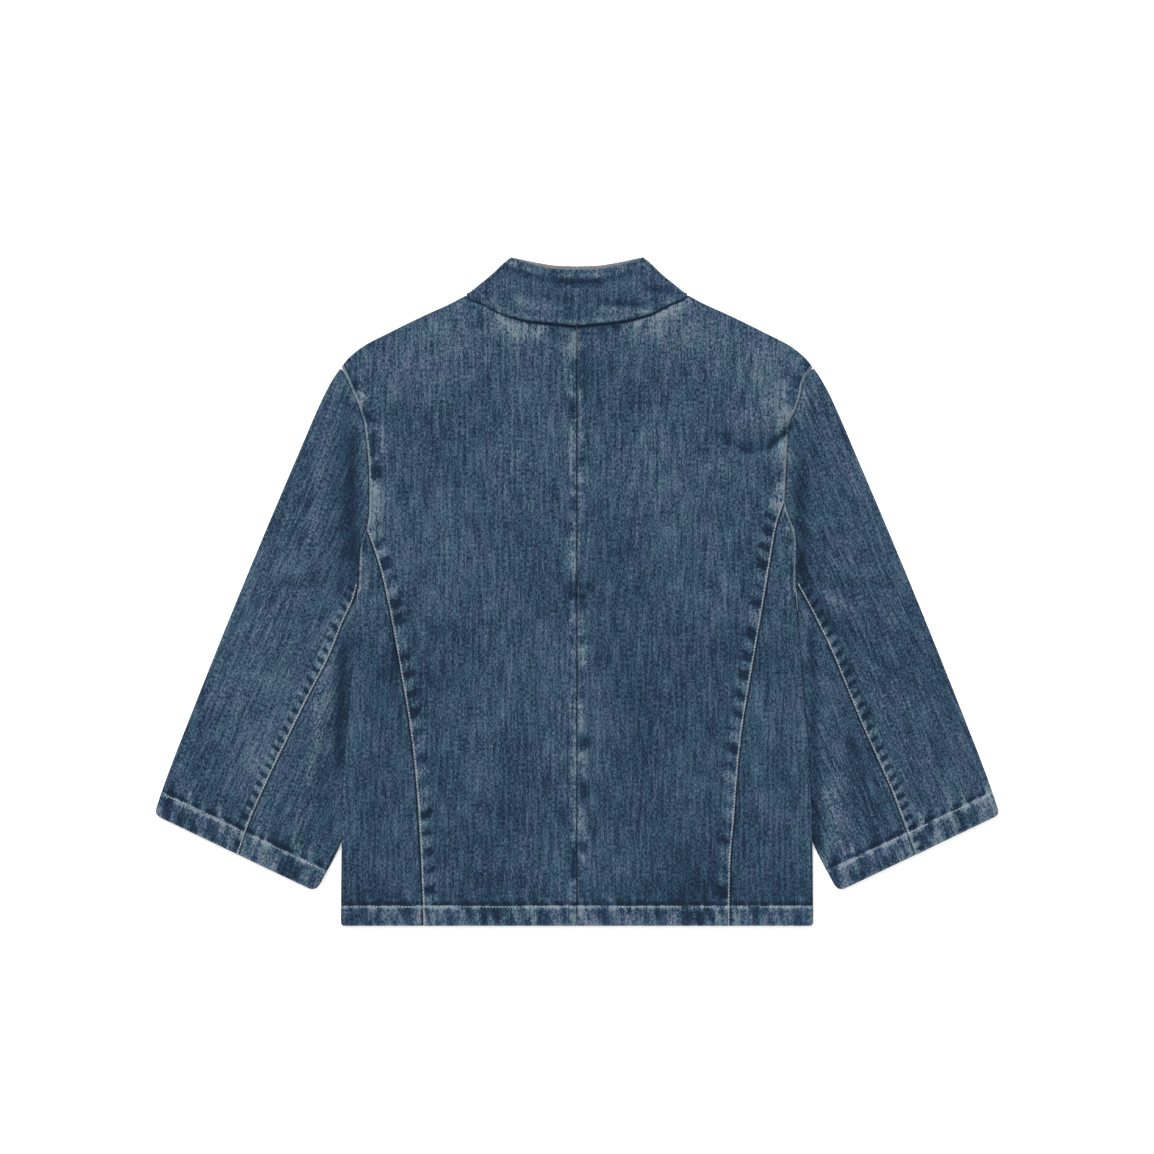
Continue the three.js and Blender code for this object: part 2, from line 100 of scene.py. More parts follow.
# Size of one cell of a fine grid where a layer shows, and beneath
FINE = 2.3
BACK_CELL = 1.9
COARSE = 6.0
EVENING_ROUNDS = 250
ON_FLOOR = 0.3
ROLL_COLUMNS = 8


def table(columns, *rows):
    """A table with named columns, each an array."""
    return {name: np.array([row[k] for row in rows], float) for k, name in enumerate(columns.split())}


# Lines of the jacket: half width from the centre back at each height
NECK_SEAM = table(
    "half y",
    (0, 263), (20, 265), (40, 267), (60, 271), (77.5, 277), (92.5, 285), (107.5, 291.5), (111, 295.5),
)
FRONT_NECK = table(
    "half y",
    (0, FRONT_NECK_Y), (30, 219), (60, 233), (82, 252), (97, 271), (107, 287), (111, 295.5),
)
SHOULDER = table(
    "half y",
    (111, 295.5), (127, 287), (153.5, 275), (190, 257), (213, 245), (228, 233), (235.5, 224),
)
ARMHOLE = table(
    "y left right",
    (224, 235.5, 235.5),
    (207, 227.5, 225.5),
    (193, 221.5, 222.5),
    (180, 216.5, 218.0),
    (166, 212.5, 211.5),
    (151, 210.5, 210.5),
    (131, 208.5, 209.5),
    (111, 207.5, 208.5),
    (91, 207.5, 208.0),
    (75, 208.0, 212.0),
    (62, 210.5, 217.5),
    (48, 216.0, 219.2),
    (34, 217.0, 219.3),
    (19, 218.0, 219.0),
    (8, 218.5, 218.8),
    (1, 218.5, 218.5),
)
PRINCESS = {
    "left": table(
        "half y",
        (210.5, 62), (204.5, 46), (196.5, 21), (189.5, -9), (183.5, -39), (176.5, -79),
        (169.5, -119), (163.5, -164), (159.5, -209), (156.5, -259), (153.5, HEM_Y),
    ),
    "right": table(
        "half y",
        (208, 91), (202.5, 76), (198.5, 61), (193.5, 31), (188.5, 1), (183.5, -29), (177.5, -64),
        (170.5, -104), (164.5, -144), (160.5, -184), (157.5, -224), (153.5, -274), (152.5, HEM_Y),
    ),
}
SIDE_FOLD = table(
    "half y",
    (218.5, 1), (222, -49), (226.5, -109), (232, -169), (235, -252), (236, HEM_Y),
)
SIDE_FRONT = table("half y", (200, 20), (188, -90), (181, -200), (178, HEM_Y))
SLEEVE_OUTER = table(
    "half y",
    (236.3, 223.1), (242, 215), (249, 203), (255, 191), (281, 131), (315, 51),
    (348, -29), (380, -109), (411, -189), (422.5, -223),
)
SLEEVE_SEAM = table(
    "y left right",
    (8, 218.5, 219.0),
    (-7, 222.5, 227.5),
    (-31, 233.5, 240.0),
    (-64, 246.5, 255.5),
    (-99, 264.5, 270.0),
    (-129, 279.5, 282.5),
    (-164, 296.5, 298.0),
    (-200, 313.5, 314.0),
    (-229, 326.0, 325.0),
    (-263.2, 337.8, 337.8),
)
SLEEVE_INNER = table(
    "half y",
    (219.2, 1), (219.9, -9), (220.5, -18), (213, -40), (202, -72), (196, -105),
    (200, -140), (215, -190), (236, -252), (260.5, CUFF_INNER_Y),
)
SLEEVE_FRONT = table("half y", (226, 8), (247, -40), (292, -140), (339.9, -262.3))
COLLAR_FOLD = table("half y", (111, 295.5), (99, 305), (84.5, 317), (73, 328), (66, 333.5))
COLLAR_TOP = table("half y", (0, 320.5), (20, 321.3), (40, 325), (58, 330.3), (66, 333.5))
FACING_TOP = table("half y", (0, 324.3), (20, 325), (40, 328), (58, 331.8), (64, 333))

# Largest folds of the upper layer, as in the solids: ridges, or troughs below zero
FOLDS = table(
    "x0 y0 x1 y1 wide high",
    (226, 190, 165, 168, 15, 3.2),  # bulge above the dent at the right armhole
    (214, 158, 150, 150, 9, -1.3),  # the dent itself
    (205, 138, 150, 122, 16, 1.2),
    (-231, 190, -226, 30, 9, -1.2),  # valley beside the left armhole
    (-216, 190, -203, 70, 8, 1.4),
    (228, 130, 231, 20, 8, -1.0),  # valley beside the right armhole
    (-244, -62, -282, -240, 9, 2.4),  # folds that fan out under the arms
    (-300, -40, -322, -190, 16, 1.2),
    (250, -60, 262, -235, 12, 2.6),
    (290, -70, 322, -200, 12, 1.2),
    (-262, 60, -345, -120, 14, 1.0),
    (262, 60, 345, -120, 14, 1.0),
    (-60, 130, -95, -190, 26, 1.3),
    (70, 150, 96, -200, 26, 1.3),
    (-130, 60, -120, -120, 22, 1.0),
    (140, 40, 125, -140, 22, 1.0),
    (-190, -130, -196, -290, 14, 1.0),
    (190, -110, 196, -290, 14, 1.0),
)

# Smaller creases, placed from the photograph, uneven in length, depth and spacing
CREASES = table(
    "x0 y0 x1 y1 wide high",
    (212, 163, 196, 150, 3.0, -1.3),  # sharp start of the dent at the right armhole
    (196, 150, 166, 143, 3.6, -1.2),
    (166, 143, 137, 158, 4.5, -0.7),
    (209, 150, 203, 133, 5.0, 1.1),
    (206, 100, 199, 78, 5.0, 0.9),
    (222, 216, 196, 212, 5.0, -0.8),
    (60, 270, 104, 286, 6.0, 0.9),  # under the neck seam
    (-40, 258, -70, 268, 5.0, 0.8),
    (-84, 281, -100, 262, 5.0, -0.9),
    (-232, 196, -227, 178, 4.0, -0.9),  # along the left armhole, on the sleeve
    (-228, 150, -224, 92, 4.0, -0.9),
    (-226, 76, -223, 34, 4.0, -0.8),
    (-251, 150, -262, 60, 6.0, 0.6),
    (228, 128, 225, 84, 4.0, -0.8),  # along the right armhole, on the sleeve
    (227, 60, 224, 12, 4.0, -0.8),
    (232, -12, 262, -40, 5.0, -1.0),  # below the right arm
    (240, -2, 276, -18, 5.0, 0.7),
    (-228, -10, -252, -44, 5.0, 0.7),  # below the left arm
    (-232, -60, -237, -132, 5.0, -1.2),
    (-238, -132, -235, -176, 4.5, -1.1),
    (-250, -96, -268, -190, 5.0, 0.9),
    (-262, -128, -286, -236, 5.0, -0.6),
    (236, -110, 240, -200, 5.5, -0.7),
    (250, -190, 262, -250, 8.0, 0.9),
    (-183, -62, -168, -82, 6.0, -0.8),  # across the left curved seam
    (-120, -18, -104, -52, 7.0, 0.4),
    (116, 96, 92, 60, 7.0, 0.4),
    (60, 60, 52, 8, 6.0, 0.4),
    (-60, 190, -84, 128, 6.0, 0.4),
    (-150, 190, -120, 160, 7.0, 0.5),
    (-24, -150, -40, -204, 7.0, 0.4),
    (110, -210, 132, -262, 7.0, 0.4),
    (330, -110, 352, -166, 6.0, 0.5),
    (-330, -96, -352, -150, 6.0, 0.5),
    (300, 20, 322, -38, 6.0, 0.4),
    (-296, 32, -318, -20, 6.0, 0.4),
)

# Tone painted on the cloth, paler where positive, darker below zero: partly the wash's own tone and wear,
# partly painted highlight on bulges and ridges, painted shade in creases and valleys, and painted shadow
# beside the collar and the body's edges
PATCHES = table(
    "x0 y0 x1 y1 wide tone",
    (14, -303, 228, -303, 17, -0.24),  # darker above the hem
    (-222, -304, -12, -304, 14, -0.12),
    (-90, 262, -190, 226, 34, 0.24),  # paler shoulders
    (90, 262, 190, 226, 34, 0.30),
    (-60, 250, -20, 252, 18, 0.20),
    (62, 271, 104, 284, 7, 0.50),  # wedges under the neck seam
    (52, 262, 84, 264, 14, 0.20),
    (-78, 262, -40, 257, 7, 0.45),
    (-88, 288, -58, 250, 2.6, 0.45),
    (-24, 256, 30, 255, 6, -0.35),
    (14, 262, 22, 244, 4, 0.30),
    (-4, 254, -5, 238, 4, 0.30),
    (-20, 262.5, 4, 263.5, 2.4, -0.60),  # painted shadow along the neck seam, below the collar's edge, and a paler strip above it
    (10, 264, 36, 265.5, 2.8, -0.75),
    (36, 265.5, 72, 275, 2.2, -0.60),
    (72, 275, 104, 291, 2.8, -0.70),
    (-26, 268, 30, 270, 3.4, 0.25),
    (-226, 222, -218, 207, 6, 0.60),  # beside the left armhole, on the body
    (-222, 205, -217, 203, 4, -1.00),
    (-217, 198, -211, 183, 7, 0.60),
    (-215, 179, -207, 171, 5, -1.00),
    (-204, 160, -202, 140, 6, -0.12),
    (-200, 160, -198, 134, 9, 0.46),
    (-202, 122, -201, 116, 5, -0.40),
    (-200, 106, -198, 60, 9, 0.30),
    (-224, 150, -221, 20, 8, -0.40),  # and on the sleeve: painted shade in the valley beside the armhole
    (-240, 140, -236, 60, 14, -0.15),
    (-232, 92, -226, 0, 15, -0.26),
    (205, 202, 222, 178, 12, 0.20),  # the bulge at the right armhole with painted highlight, painted shade in the crease under it, and painted highlight on the ridges below
    (196, 172, 206, 160, 8, 0.12),
    (205, 146, 211, 134, 5, 0.50),
    (213, 166, 208, 158, 3, -1.00),
    (208, 158, 192, 144, 2.4, -1.60),
    (190, 143, 168, 140, 3.0, -0.65),
    (168, 140, 146, 154, 4.0, -0.22),
    (203, 100, 203, 94, 6, 0.50),
    (206, 84, 210, 60, 8, 0.30),
    (221, 120, 224, 20, 6, -0.45),  # beside the right armhole, on the sleeve: painted shade in the valley
    (-8, 256, -8, 200, 6, 0.30),  # beside the centre back: worn lengths and dark knots
    (-4, 256, -4, 242, 2.6, 0.68),
    (8, 241, 7, 201, 6, -0.41),
    (-5, 190, -5, 181, 3.6, -0.81),
    (4, 200, 4, 160, 2.8, 0.68),
    (-6, 165, -6, 118, 3.6, 0.46),
    (8, 134, 9, 131, 4, -0.54),
    (-6, 106, 5, 102, 3.6, -0.68),
    (-4, 92, -3, 82, 3.4, -0.57),
    (-5, 54, -5, 28, 6, 0.46),
    (8, 54, 8, 28, 6, 0.41),
    (-5, 6, 12, 4, 4.4, -0.81),
    (-6, -4, 8, -5, 3.4, -0.68),
    (-4, -10, -4, -34, 2.6, 0.54),
    (6, -14, 8, -15, 3.0, -0.68),
    (7, -58, 8, -72, 5.0, 0.54),
    (4, -110, 4, -140, 3.0, 0.61),
    (9, -150, 8, -153, 5.4, -1.15),
    (-2, -136, -2, -188, 2.2, 0.61),
    (6, -160, 6, -186, 4.4, 0.51),
    (6, -194, 7, -201, 4.4, -1.01),
    (-3, -194, -3, -248, 2.2, 0.54),
    (6, -222, 6, -246, 5, 0.57),
    (5, -254, 5, -258, 4.4, -0.94),
    (5, -262, 6, -270, 4.4, 0.46),
    (-3, -260, -3, -284, 3, -0.81),
    # painted shade in the crease across the left curved seam
    (-180, -64, -186, -80, 8, -0.45),
    (-233, -52, -237, -172, 6, -0.60),  # under the left arm: painted shadow beside the body's edge, painted highlight and shade along the folds
    (-252, -60, -262, -110, 9, 0.12),
    (-262, -110, -258, -150, 6, 0.12),
    (-246, -170, -250, -240, 10, -0.15),
    (224, 30, 230, 0, 6, -0.50),  # under the right arm: painted shade at the armhole and in the crease, painted shadow beside the body's edge, painted highlight and shade along the folds
    (230, 0, 256, -40, 6, -0.55),
    (234, -40, 240, -250, 4, -0.50),
    (252, -200, 258, -246, 10, 0.10),
    (250, -60, 252, -180, 9, -0.20),
    (258, -60, 276, -160, 14, -0.26),
    (276, -160, 290, -240, 14, -0.20),
    (-130, -20, -150, -300, 40, -0.16),  # darker towards the hem
    (60, 20, 90, -260, 60, -0.24),
    (-80, 60, -60, -240, 60, -0.14),
    (150, -60, 140, -300, 34, -0.20),
    (-200, -80, -200, -300, 20, -0.28),
    (200, -60, 205, -300, 20, -0.26),
    (-290, 120, -370, -120, 34, 0.05),
    (300, 40, 370, -150, 30, -0.08),
    (-153, -318, -148, -330, 12, 0.35),  # seam crossings in the hems
    (152, -318, 148, -330, 12, 0.30),
    (4, -318, 6, -330, 12, 0.30),
    (-333, -246, -336, -258, 10, 0.35),
    (333, -246, 336, -258, 10, 0.35),
)

SIGN = {"left": -1, "right": 1}


# Curves and plan shapes


def smooth(start, end, value):
    t = np.clip((value - start) / (end - start), 0, 1)
    return t * t * (3 - 2 * t)


def mix(a, b, t):
    return a + (b - a) * t


def curve(xs, ys):
    """A smooth curve through the points, without overshoot between them."""
    order = np.argsort(xs)
    xs, ys = xs[order], ys[order]
    rise = np.diff(ys) / np.diff(xs)
    slope = np.concatenate([rise[:1], np.zeros(len(xs) - 2), rise[-1:]])
    same = rise[:-1] * rise[1:] > 0
    slope[1:-1][same] = 2 / (1 / rise[:-1][same] + 1 / rise[1:][same])

    def at(x):
        x = np.asarray(x, float)
        k = np.clip(np.searchsorted(xs, x, side="left") - 1, 0, len(xs) - 2)
        span = xs[k + 1] - xs[k]
        t = np.clip((x - xs[k]) / span, 0, 1)
        s = t * t * (3 - 2 * t)
        return mix(ys[k], ys[k + 1], s) + span * t * (1 - t) * ((1 - t) * slope[k] - t * slope[k + 1])

    return at


def traced(rows, along="y", across="half", count=480):
    """A line through the rows of a table, from the first to the last."""
    value = np.linspace(rows[along][0], rows[along][-1], count)
    other = curve(rows[along], rows[across])(value)
    return np.stack([other, value] if along == "y" else [value, other], axis=-1)


def spaced(line, steps):
    """Evenly spaced points along a line."""
    line = np.asarray(line, float)
    reach = np.concatenate([[0], np.cumsum(np.linalg.norm(np.diff(line, axis=0), axis=1))])
    stops = np.linspace(0, reach[-1], steps + 1)
    return np.stack([np.interp(stops, reach, line[:, 0]), np.interp(stops, reach, line[:, 1])], axis=-1)


def filled(top, bottom, inner, outer):
    """A piece in plan, filled in from its four edges; rows run down it, columns across it."""
    v = np.linspace(0, 1, len(inner))[:, None, None]
    u = np.linspace(0, 1, len(top))[None, :, None]
    corners = mix(mix(inner[0], inner[-1], v), mix(outer[0], outer[-1], v), u)
    grid = mix(top[None], bottom[None], v) + mix(inner[:, None], outer[:, None], u) - corners
    grid[0], grid[-1] = top, bottom
    grid[:, 0], grid[:, -1] = inner, outer
    return grid


def evened(grid):
    """The same piece with its inner points drawn level with their neighbours, so that no row folds over."""
    grid = grid.copy()
    for _ in range(EVENING_ROUNDS):
        around = grid[:-2, 1:-1] + grid[2:, 1:-1] + grid[1:-1, :-2] + grid[1:-1, 2:]
        grid[1:-1, 1:-1] = around / 4
    return grid


def drawn_back(grid, edges):
    """Sewn edges drawn back by half the seam gap."""
    out = grid.copy()

    def inward(run, into):
        run = run / np.linalg.norm(run, axis=-1, keepdims=True)
        normal = np.stack([-run[..., 1], run[..., 0]], axis=-1)
        turned = np.sum(normal * into, axis=-1, keepdims=True) < 0
        return np.where(turned, -normal, normal) * SEAM_GAP / 2

    if "inner" in edges:
        out[:, 0] += inward(np.gradient(grid[:, 0], axis=0), grid[:, 1] - grid[:, 0])
    if "outer" in edges:
        out[:, -1] += inward(np.gradient(grid[:, -1], axis=0), grid[:, -2] - grid[:, -1])
    if "top" in edges:
        out[0] += inward(np.gradient(grid[0], axis=0), grid[1] - grid[0])
    return out


def roll_start(fold, roll, away, before):
    """The line where a flat layer ends and its roll round a fold begins."""
    run = np.gradient(fold, axis=0)
    run /= np.linalg.norm(run, axis=1, keepdims=True)
    grown = mix(FIRST_ROLL, 1, smooth(0, 12, np.linalg.norm(fold - fold[0], axis=1)))[:, None] * roll
    start = fold - np.stack([-run[:, 1], run[:, 0]], axis=-1) * away * grown
    start[0] = fold[0] + (before - fold[0]) * FIRST_ROLL * roll / np.linalg.norm(before - fold[0])
    return start


def fold_line(rows, steps, along="y", across="half"):
    """A fold line, begun clear of the seam it starts from."""
    line = spaced(traced(rows, along, across), steps)
    line[0] = mix(line[0], line[1], 0.3)
    return line


# The lines as functions of height
side_fold = curve(SIDE_FOLD["y"], SIDE_FOLD["half"])
sleeve_inner = curve(SLEEVE_INNER["y"], SLEEVE_INNER["half"])
sleeve_outer = curve(SLEEVE_OUTER["y"], SLEEVE_OUTER["half"])
shoulder = curve(SHOULDER["half"], SHOULDER["y"])
front_neck = curve(FRONT_NECK["half"], FRONT_NECK["y"])
CUFF_OUTER = np.array([422.5, -223])
CUFF_INNER = np.array([260.5, CUFF_INNER_Y])
CUFF_RUN = (CUFF_INNER - CUFF_OUTER) / np.linalg.norm(CUFF_INNER - CUFF_OUTER)


# The corners of hem and cuffs: place, then the ways along the edge and up the fold
CORNERS = {
    "sleeve": (
        (CUFF_OUTER, CUFF_RUN, (-11.5, 34), CUFF_OUTER_CORNER),
        (CUFF_INNER, -CUFF_RUN, (-24.5, 48), CUFF_INNER_CORNER),
    ),
    "body": ((np.array([236, HEM_Y]), (-1, 0), (-1, 82), HEM_CORNER),),
}


def rounded(grid, part):
    """The grid with its points near the corners of hem or cuff drawn in."""
    grid = grid.copy()
    for corner, along, up, reach in CORNERS[part]:
        ways = np.array([along, np.array(up) / np.hypot(*up)]).T
        place = (grid[..., :2] - corner) @ np.linalg.inv(ways).T
        left = np.clip(1 - place / reach, 0, 1.3)
        drawn = left * np.sqrt(1 - ROUNDNESS / 2 * left[..., ::-1] ** 2)
        grid[..., :2] += ((left - drawn) * reach) @ ways.T
    return grid


def below_shoulder(half, y):
    return np.where(half < SHOULDER["half"][0], 1e3, shoulder(np.minimum(half, 235.5)) - y)


def above_cuff(half, y):
    return (half - CUFF_OUTER[0]) * CUFF_RUN[1] - (y - CUFF_OUTER[1]) * CUFF_RUN[0]


def lift(half, y):
    """How far the body is lifted where it lies on a sleeve."""
    past = np.where(
        y > CUFF_INNER_Y, sleeve_inner(y) - half, np.hypot(CUFF_INNER[0] - half, CUFF_INNER_Y - y)
    )
    return BODY_LIFT * (1 - smooth(LIFT_FLAT, LIFT_END, past)) * smooth(LIFT_START_Y, LIFT_FULL_Y, y)


def ridges(rows, x, y):
    """The soft ridges and troughs of a table, each along its own line."""
    total = np.zeros_like(x)
    for x0, y0, x1, y1, wide, high in zip(*rows.values()):
        run_x, run_y = x1 - x0, y1 - y0
        t = np.clip(((x - x0) * run_x + (y - y0) * run_y) / (run_x**2 + run_y**2), 0, 1)
        off = ((x - x0 - run_x * t) ** 2 + (y - y0 - run_y * t) ** 2) / wide**2
        total += high * np.exp(-off)
    return total


# Seams and what lies beside them
#
# Each grid of points carries, behind x, y and z, the values that the cloth's material reads.

# The first two fields paint the cloth's tone: paler where worn and where highlight is painted on ridges and
# bulges, darker where shade is painted in creases, troughs and valleys, where shadow is painted beside the
# collar and the body's edges, and where the wash is darker.
FIELDS = "wear shade seam reach wave ticks pale line edge hem roping".split()
FAR = 60.0  # the distance given where no seam or hem is near


def no_fields(shape):
    """The fields of plain cloth."""
    fields = np.zeros(shape + (len(FIELDS),))
    for name in ("seam", "reach", "hem"):
        fields[..., FIELDS.index(name)] = FAR
    return fields


def noise_1d(seed, s, pitch):
    """Smooth uneven values between -1 and 1 along a line."""
    values = np.random.default_rng(seed).uniform(-1, 1, 4096)
    t = s / pitch + 0.35 * np.sin(s / pitch * 0.73 + seed)
    k = np.floor(t).astype(int)
    f = t - k
    f = f * f * (3 - 2 * f)
    return mix(values[k % 4096], values[(k + 1) % 4096], f)


# Half width and height of every seam, each line running downwards or outwards
SEAM_LINES = {
    side: {
        "centre": np.array([[0, 262], [0, HEM_Y]]),
        "princess": traced(PRINCESS[side]),
        "armhole": traced(ARMHOLE, "y", side),
        "sleeve": traced(SLEEVE_SEAM, "y", side),
        "neck": traced(NECK_SEAM, "half", "y"),
    }
    for side in ("left", "right")
}

# A row for each side of a seam, 1 where the half width is larger and -1 where it is smaller (or below
# the neck seam). The band beside it may be raised in a ridge, and puckers at the pitch, more or less
# evenly. Then the strengths of its dark spots, pale abrasion, dark line and pale stitched edge.
SEAM_COLUMNS = "line side band ridge pucker pitch even ticks pale dark edge"
SEAM_SIDES = [
    dict(zip(SEAM_COLUMNS.split(), row))
    for row in (
        ("centre", 1, 8, 0.30, 0.40, 17, 0.30, 0.30, 0.45, 0.65, 0.2),
        ("princess", -1, 14, 0.50, 0.60, 20, 0.50, 1.10, 0.60, 0.10, 0.8),
        ("princess", 1, 6, 0.00, 0.20, 20, 0.30, 0.15, 0.10, 1.10, 0.0),
        ("armhole", -1, 13, 0.60, 0.50, 30, 0.30, 0.90, 0.55, 0.15, 0.9),
        ("armhole", 1, 8, 0.00, 0.35, 30, 0.30, 0.45, 0.10, 0.70, 0.0),
        ("sleeve", 1, 11, 0.45, 0.50, 11, 0.85, 1.05, 0.40, 0.10, 0.8),
        ("sleeve", -1, 5, 0.00, 0.20, 11, 0.50, 0.15, 0.15, 1.10, 0.0),
        # Below the neck seam, on the body, its dark line is painted shadow along the neck seam.
        ("neck", -1, 8, 0.00, 0.30, 15, 0.30, 0.45, 0.45, 1.10, 0.0),
    )
]


def nearest(line, x, y):
    """Distance from a line, side of it (+1 on its +X side) and reach along it."""
    steps = max(2, int(np.linalg.norm(np.diff(line, axis=0), axis=1).sum()))
    line = spaced(line, steps)
    run = np.gradient(line, axis=0)
    run /= np.linalg.norm(run, axis=1, keepdims=True)
    best = np.full(x.shape, 1e9)
    index = np.zeros(x.shape, int)
    points = np.stack([x.ravel(), y.ravel()], axis=-1)
    chunk = 20000
    flat_best, flat_index = best.ravel(), index.ravel()
    for start in range(0, len(points), chunk):
        part = points[start : start + chunk]
        square = (
            (part**2).sum(axis=1)[:, None] + (line**2).sum(axis=1)[None] - 2 * part @ line.T
        )
        k = square.argmin(axis=1)
        flat_index[start : start + chunk] = k
        flat_best[start : start + chunk] = np.sqrt(np.maximum(square[np.arange(len(part)), k], 0))
    index = flat_index.reshape(x.shape)
    best = flat_best.reshape(x.shape)
    # The lines run downwards, so their left-hand side is +X
    offset_x, offset_y = x - line[index, 0], y - line[index, 1]
    cross = run[index, 0] * offset_y - run[index, 1] * offset_x
    beyond = run[index, 0] * offset_x + run[index, 1] * offset_y
    ended = (index == 0) | (index == len(line) - 1)
    distance = np.where(ended & (np.abs(beyond) > 1), best, np.abs(cross))
    return distance, np.sign(cross), index + beyond


def seam_relief(side, half, y):
    """Height beside every seam at these places, and the fields of the nearest one."""
    height, fields = np.zeros_like(half), no_fields(half.shape)
    first = FIELDS.index("seam")
    for k, seam in enumerate(SEAM_SIDES):
        line, band = SEAM_LINES[side][seam["line"]], seam["band"]
        near = (
            (half > line[:, 0].min() - 40) & (half < line[:, 0].max() + 40)
            & (y > line[:, 1].min() - 40) & (y < line[:, 1].max() + 40)
        )
        if not near.any():
            continue
        d, towards, s = nearest(line, half[near], y[near])
        here = towards * seam["side"] >= 0
        seed = 7 * k + len(side)
        slow = noise_1d(seed + 100, s, 55)
        wave = seam["even"] * np.sin(2 * np.pi * (s + 0.3 * d) / seam["pitch"] + 2.4 * slow)
        wave += (1.1 - seam["even"]) * noise_1d(seed, s + 0.2 * d, 0.7 * seam["pitch"])
        inside = smooth(0, 2.2, d) * (1 - smooth(band - 3, band + 2, d))
        ripple = smooth(0.3, 2.5, d) * (1 - smooth(band * 0.6, band + 8 + 4 * slow, d))
        dip = 0.35 * np.exp(-((d / 1.2) ** 2))
        height[near] += here * (seam["ridge"] * inside + seam["pucker"] * wave * ripple - dip)
        even = np.ones_like(d)
        looks = (seam["ticks"], seam["pale"], seam["dark"], seam["edge"])
        values = np.stack([d, d / band, wave] + [even * look for look in looks], axis=-1)
        kept = fields[near]
        closer = here & (d < kept[..., first])
        kept[closer, first : first + 7] = values[closer]
        fields[near] = kept
    return height, fields


def hem_relief(reach, along, seed):
    """Height of a turned-up hem and its roping, by the distance from its edge and the way along it."""
    uneven = noise_1d(seed, along, 24)
    roping = np.sin(2 * np.pi * (along / 15.0 + reach / 44.0) + 2.6 * uneven)
    band = 1 - smooth(HEM_DEPTH - 1.5, HEM_DEPTH + 0.5, reach)
    stitch = np.exp(-(((reach - HEM_STITCH) / 1.2) ** 2))
    above = np.exp(-(((reach - HEM_DEPTH - 3.0) / 3.0) ** 2))
    height = band * (2 * HEM_EXTRA + 0.25 * roping * smooth(0, 5, reach)) - 0.5 * stitch
    return height + 0.15 * roping * above, roping


def creased(x, y, edge):
    """Height of the small creases, and the tone painted from the patches, the creases and the largest
    folds: paler where positive, wear and painted highlight on ridges and bulges; darker where negative,
    painted shade in troughs, creases and valleys and painted shadow beside the collar and the body's edges,
    with darker parts of the wash.
    """
    height = ridges(CREASES, x, y) * smooth(0, 8, edge)
    tone = ridges(PATCHES, x, y) + 0.30 * height + 0.10 * ridges(FOLDS, x, y)
    return height, np.maximum(tone, 0), np.maximum(-tone, 0)


def dressed(fields, x, y, edge, hem, roping):
    """The fields of a face that shows, filled in."""
    _height, fields[..., 0], fields[..., 1] = creased(x, y, edge)
    fields[..., FIELDS.index("hem")] = np.minimum(hem, FAR)
    fields[..., FIELDS.index("roping")] = roping
    return fields


def stand_off(x, y, edge):
    loose = (LOOSE + ridges(FOLDS, x, y)) * smooth(0, EDGE_REACH, edge)
    return np.maximum(0, loose + creased(x, y, edge)[0])


def body_upper(side, half, y):
    """Outer face of the upper layer of the body, with its fields."""
    x = SIGN[side] * half
    beside_fold = side_fold(y) - half + np.maximum(0, y - 1)
    edge = np.minimum(np.minimum(beside_fold, below_shoulder(half, y)), y - HEM_Y)
    neck = np.hypot(
        np.maximum(0, half - 105), np.maximum(0, front_neck(np.minimum(half, 105)) - y)
    )
    raised = (1 - smooth(0, NECK_REACH, neck)) * smooth(0, NECK_EDGE, below_shoulder(half, y))
    room = mix(stand_off(x, y, edge), COLLAR_BACK_Z - CLOTH - LAYER_GAP, raised)
    height, fields = seam_relief(side, half, y)
    hem, roping = hem_relief(y - HEM_Y, x + 700, 41)
    z = lift(half, y) + CLOTH + LAYER_GAP + room + CLOTH + height + hem
    return z, dressed(fields, x, y, edge, y - HEM_Y, roping)


def body_lower(side, half, y):
    """Outer face of the lower layer of the body: its underside."""
    fields = no_fields(half.shape)
    fields[..., FIELDS.index("hem")] = np.minimum(y - HEM_Y, FAR)
    fields[..., FIELDS.index("roping")] = hem_relief(y - HEM_Y, SIGN[side] * half + 1900, 61)[1]
    return lift(half, y), fields


def sleeve_upper(side, half, y):
    x = SIGN[side] * half
    beside_body = np.where(y > 1, y + EDGE_REACH * smooth(1, 30, y), half - side_fold(y) - 3)
    cuff = above_cuff(half, y)
    edge = np.minimum(np.minimum(beside_body, sleeve_outer(y) - half), cuff)
    height, fields = seam_relief(side, half, y)
    clear = smooth(0, 6, np.where(y > 1, 6 + y, half - side_fold(y)))
    depth = cuff * HEM_DEPTH / CUFF_DEPTH
    hem, roping = hem_relief(depth, along_cuff(half, y) + 300 * (2 + SIGN[side]), 43)
    z = CLOTH + LAYER_GAP + stand_off(x, y, edge) + CLOTH + height * clear + hem
    slanting = along_cuff(half, y) + 0.8 * cuff + 900 * (2 + SIGN[side])
    roping = roping + 2.2 * noise_1d(45, slanting, 17) + 1.3 * noise_1d(46, slanting, 6)
    return z, dressed(fields, x, y, edge, depth, roping)


def sleeve_lower(side, half, y):
    fields = no_fields(half.shape)
    depth = above_cuff(half, y) * HEM_DEPTH / CUFF_DEPTH
    fields[..., FIELDS.index("hem")] = np.minimum(depth, FAR)
    fields[..., FIELDS.index("roping")] = hem_relief(depth, along_cuff(half, y) + 2100, 43)[1]
    return np.zeros_like(half), fields


def along_cuff(half, y):
    return (half - CUFF_OUTER[0]) * CUFF_RUN[0] + (y - CUFF_OUTER[1]) * CUFF_RUN[1]


